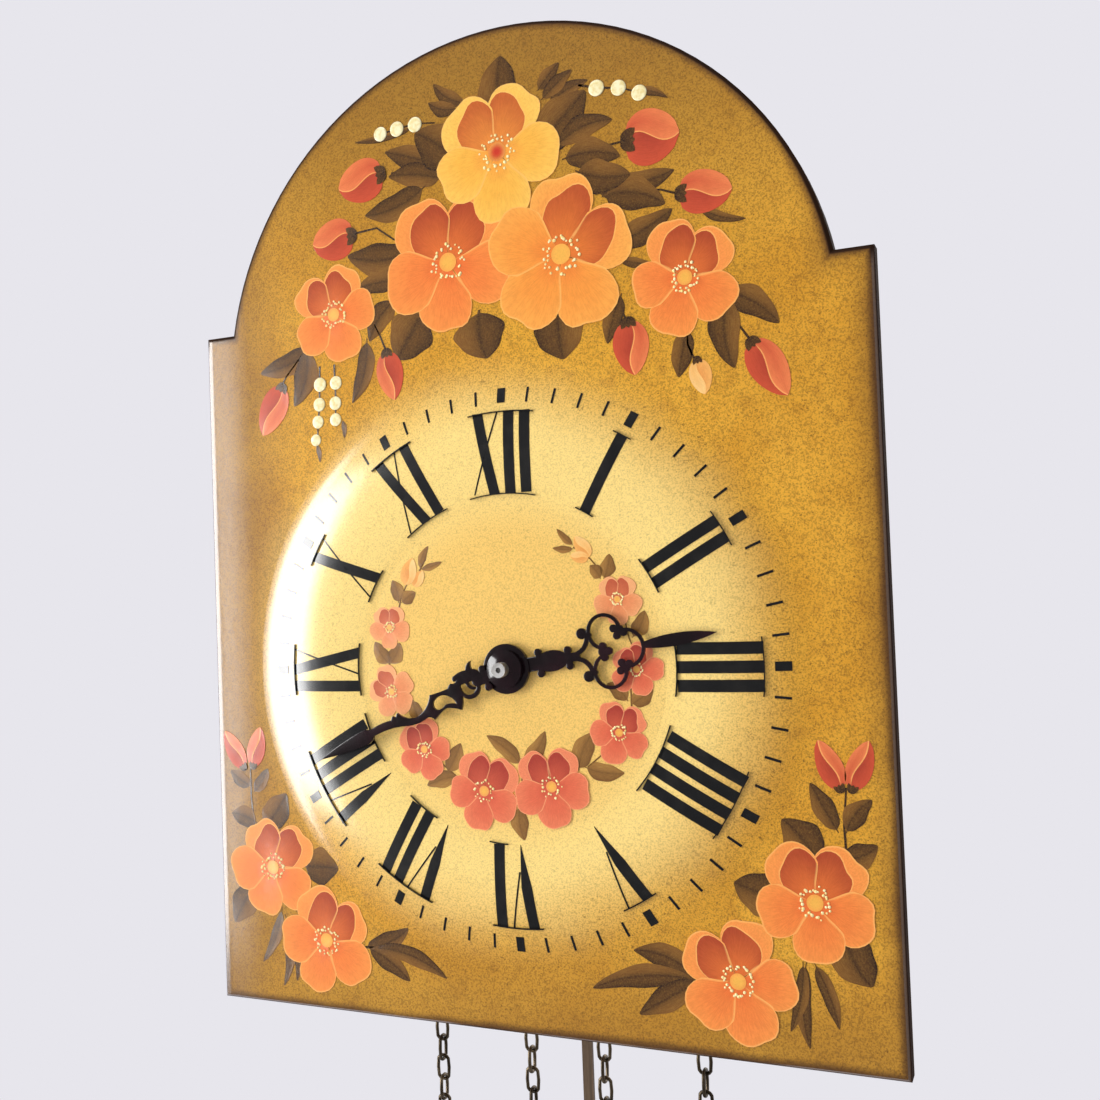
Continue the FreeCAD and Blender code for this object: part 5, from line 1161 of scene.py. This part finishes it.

# %% [markdown]
# ## Chains
# Each chain is bent from wire: oval links, every second one turned a quarter. One link is a torus whose two
# ends are drawn apart in edit mode, and it has few faces, because the two chains take almost two hundred
# copies. The strands hang straight down from the sprockets.

# %% One link
LINK_PITCH = 6.5
LINK_WIRE = 0.575
LINK_BEND = 2.025
LINK_STRAIGHT = 1.9
select()
bpy.ops.mesh.primitive_torus_add(major_radius=LINK_BEND * MM, minor_radius=LINK_WIRE * MM,
                                 major_segments=14, minor_segments=7)
link_object = bpy.context.object
mode("EDIT")
for way in (-1, 1):
    bpy.ops.mesh.select_all(action="DESELECT")
    mode("OBJECT")
    for vertex in link_object.data.vertices:
        vertex.select = vertex.co.y * way > 0.00001
    mode("EDIT")
    bpy.ops.transform.translate(value=(0, way * LINK_STRAIGHT * MM, 0))
mode("OBJECT")
bpy.ops.object.shade_smooth()
link_mesh = link_object.data.copy()
bpy.ops.object.delete()
print("a link has", len(link_mesh.polygons), "faces")

# %% Strands
SPROCKET_X = 28.9
SPROCKET_Z = -86.76
CHAIN_Y = -35.4
CHAIN_RADIUS = 16.34
WEIGHT_LINKS = 23
FREE_LINKS = 59
WRAP_LINKS = 7
WRAP_STEP = 22.5
UPRIGHT = Matrix(((1, 0, 0), (0, 0, -1), (0, 1, 0)))
QUARTER = Matrix.Rotation(pi / 2, 3, "Z")


def chain_piece(name, links):
    """Joins copies of the link; each entry is a place in mm, a lean about Y and whether it is turned."""
    chain = Layer(name, chain_metal)
    for place, lean, turned in links:
        mesh = link_mesh.copy()
        turn = Matrix.Rotation(lean, 3, "Y") @ (QUARTER if turned else Matrix.Identity(3)) @ UPRIGHT
        mesh.transform(Matrix.Translation(Vector(place) * MM) @ turn.to_4x4())
        chain.lay(mesh)
    piece = chain.join()
    return piece


def strand(x, count):
    return [((x, CHAIN_Y, SPROCKET_Z - LINK_PITCH * k), 0.0, k % 2 == 0) for k in range(count)]


def wrapped(middle):
    links = []
    for k in range(1, WRAP_LINKS + 1):
        angle = radians(WRAP_STEP * k)
        place = (middle - CHAIN_RADIUS * cos(angle), CHAIN_Y, SPROCKET_Z + CHAIN_RADIUS * sin(angle))
        links.append((place, angle, k % 2 == 0))
    return links


for name, side in (("going", -1), ("strike", 1)):
    middle = SPROCKET_X * side
    weight_links = strand(middle + CHAIN_RADIUS * side, WEIGHT_LINKS)
    hung = chain_piece(name + "_weight_strand", weight_links)
    end = (0, CHAIN_Y * MM, weight_links[-1][0][2] * MM)
    name + "_weight"
    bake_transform(hung)
    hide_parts(name + "_weight_chain")
    free_links = strand(middle - CHAIN_RADIUS * side, FREE_LINKS)
    loose = chain_piece(name + "_pull_strand", free_links)
    end = (0, CHAIN_Y * MM, free_links[-1][0][2] * MM)
    name + "_ring"
    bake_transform(loose)
    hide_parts(name + "_pull_chain")
    over = chain_piece(name + "_wrapped_links", wrapped(middle))
    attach(over, "case")

# %% [markdown]
# ## Stage and light
# The clock hangs clear above a pale floor, which fades into the equally pale background where only the eye and
# reflections see it. In reflections the room in front of the clock is dimmer, its floor too, so that the
# varnish stays clear and the black of the numerals deep. A tall window-like panel on the left draws the bright
# crescent along the dial's flank.

# %% Floor
FLOOR_Z = -0.62
FLOOR_SIZE = 8
FLOOR_FADE = (0.2, 0.6)
IN_FRONT = (0.1, -0.3)
PALE = (0.80, 0.79, 0.84, 1.0)
DIM = (0.17, 0.165, 0.17, 1.0)


def seen(graph, rays):
    """1 for what the eye sees straight on, in a mirror or through glass."""
    return graph.most(graph.most(rays["Is Camera Ray"], rays["Is Glossy Ray"]), rays["Is Transmission Ray"])


select()
bpy.ops.mesh.primitive_plane_add(size=FLOOR_SIZE, location=(0, 0, FLOOR_Z))
floor = bpy.context.object
floor.name = "floor"
pale = Finish("pale_floor")
pale.set(Base_Color=PALE, Roughness=0.9)
spread = pale.value("VectorMath", "Value", {0: pale.place}, operation="LENGTH")
rays = pale.add("LightPath").outputs
ahead = pale.value("SeparateXYZ", "Y", {0: pale.place})
mirrored = pale.smooth(ahead, *IN_FRONT) * rays["Is Glossy Ray"]
flat = pale.value("Emission", 0, {"Color": pale.mix(mirrored, PALE, DIM), "Strength": 1.0})
share = seen(pale, rays) * pale.smooth(spread, *FLOOR_FADE)
fade = pale.value("MixShader", 0, {0: share, 1: pale.surface.outputs[0], 2: flat})
pale.put(fade, pale.tree.nodes["Material Output"].inputs["Surface"])
floor.data.materials.append(pale.material)
print("floor at", FLOOR_Z, "m")

# %% World
SKY = 0.40
scene.world = bpy.data.worlds.new("studio")
scene.world.use_nodes = True
studio = Graph(scene.world.node_tree)
rays = studio.add("LightPath").outputs
way = studio.value("SeparateXYZ", "Y", {0: studio.value("TexCoord", "Generated")})
mirrored = studio.mix(studio.smooth(way, *IN_FRONT, "LINEAR"), PALE, DIM)
sky = studio.tree.nodes["Background"]
studio.put((1, 1, 1, 1), sky.inputs["Color"])
studio.put(SKY, sky.inputs["Strength"])
shown = studio.value("Background", 0, {"Color": studio.mix(rays["Is Camera Ray"], mirrored, PALE)})
both = studio.value("MixShader", 0, {0: seen(studio, rays), 1: sky.outputs[0], 2: shown})
studio.put(both, studio.tree.nodes["World Output"].inputs["Surface"])
print("sky strength", SKY)

# %% Lamps: name, place, the point that it faces, width, height and power
PANELS = [
    ("window_panel", (-1.22, -0.86, -0.06), (-0.07, -0.07, -0.07), 0.5, 1.0, 19),
    ("front_panel", (-0.5, -0.75, 1.3), (0, -0.06, -0.07), 1.1, 0.9, 9),
    ("right_panel", (1.3, -0.9, 0.3), (0, -0.06, -0.1), 1.0, 1.0, 3),
    ("back_panel", (0.4, 1.4, 0.6), (0, 0, -0.15), 1.0, 1.0, 8),
]
for name, place, target, width, height, power in PANELS:
    way = Vector(target) - Vector(place)
    bpy.ops.object.light_add(type="AREA", location=place, rotation=way.to_track_quat("-Z", "Y").to_euler())
    lamp = bpy.context.object
    lamp.name = name
    lamp.data.shape = "RECTANGLE"
    lamp.data.size = width
    lamp.data.size_y = height
    lamp.data.energy = power
    print(name, "gives", power, "W")
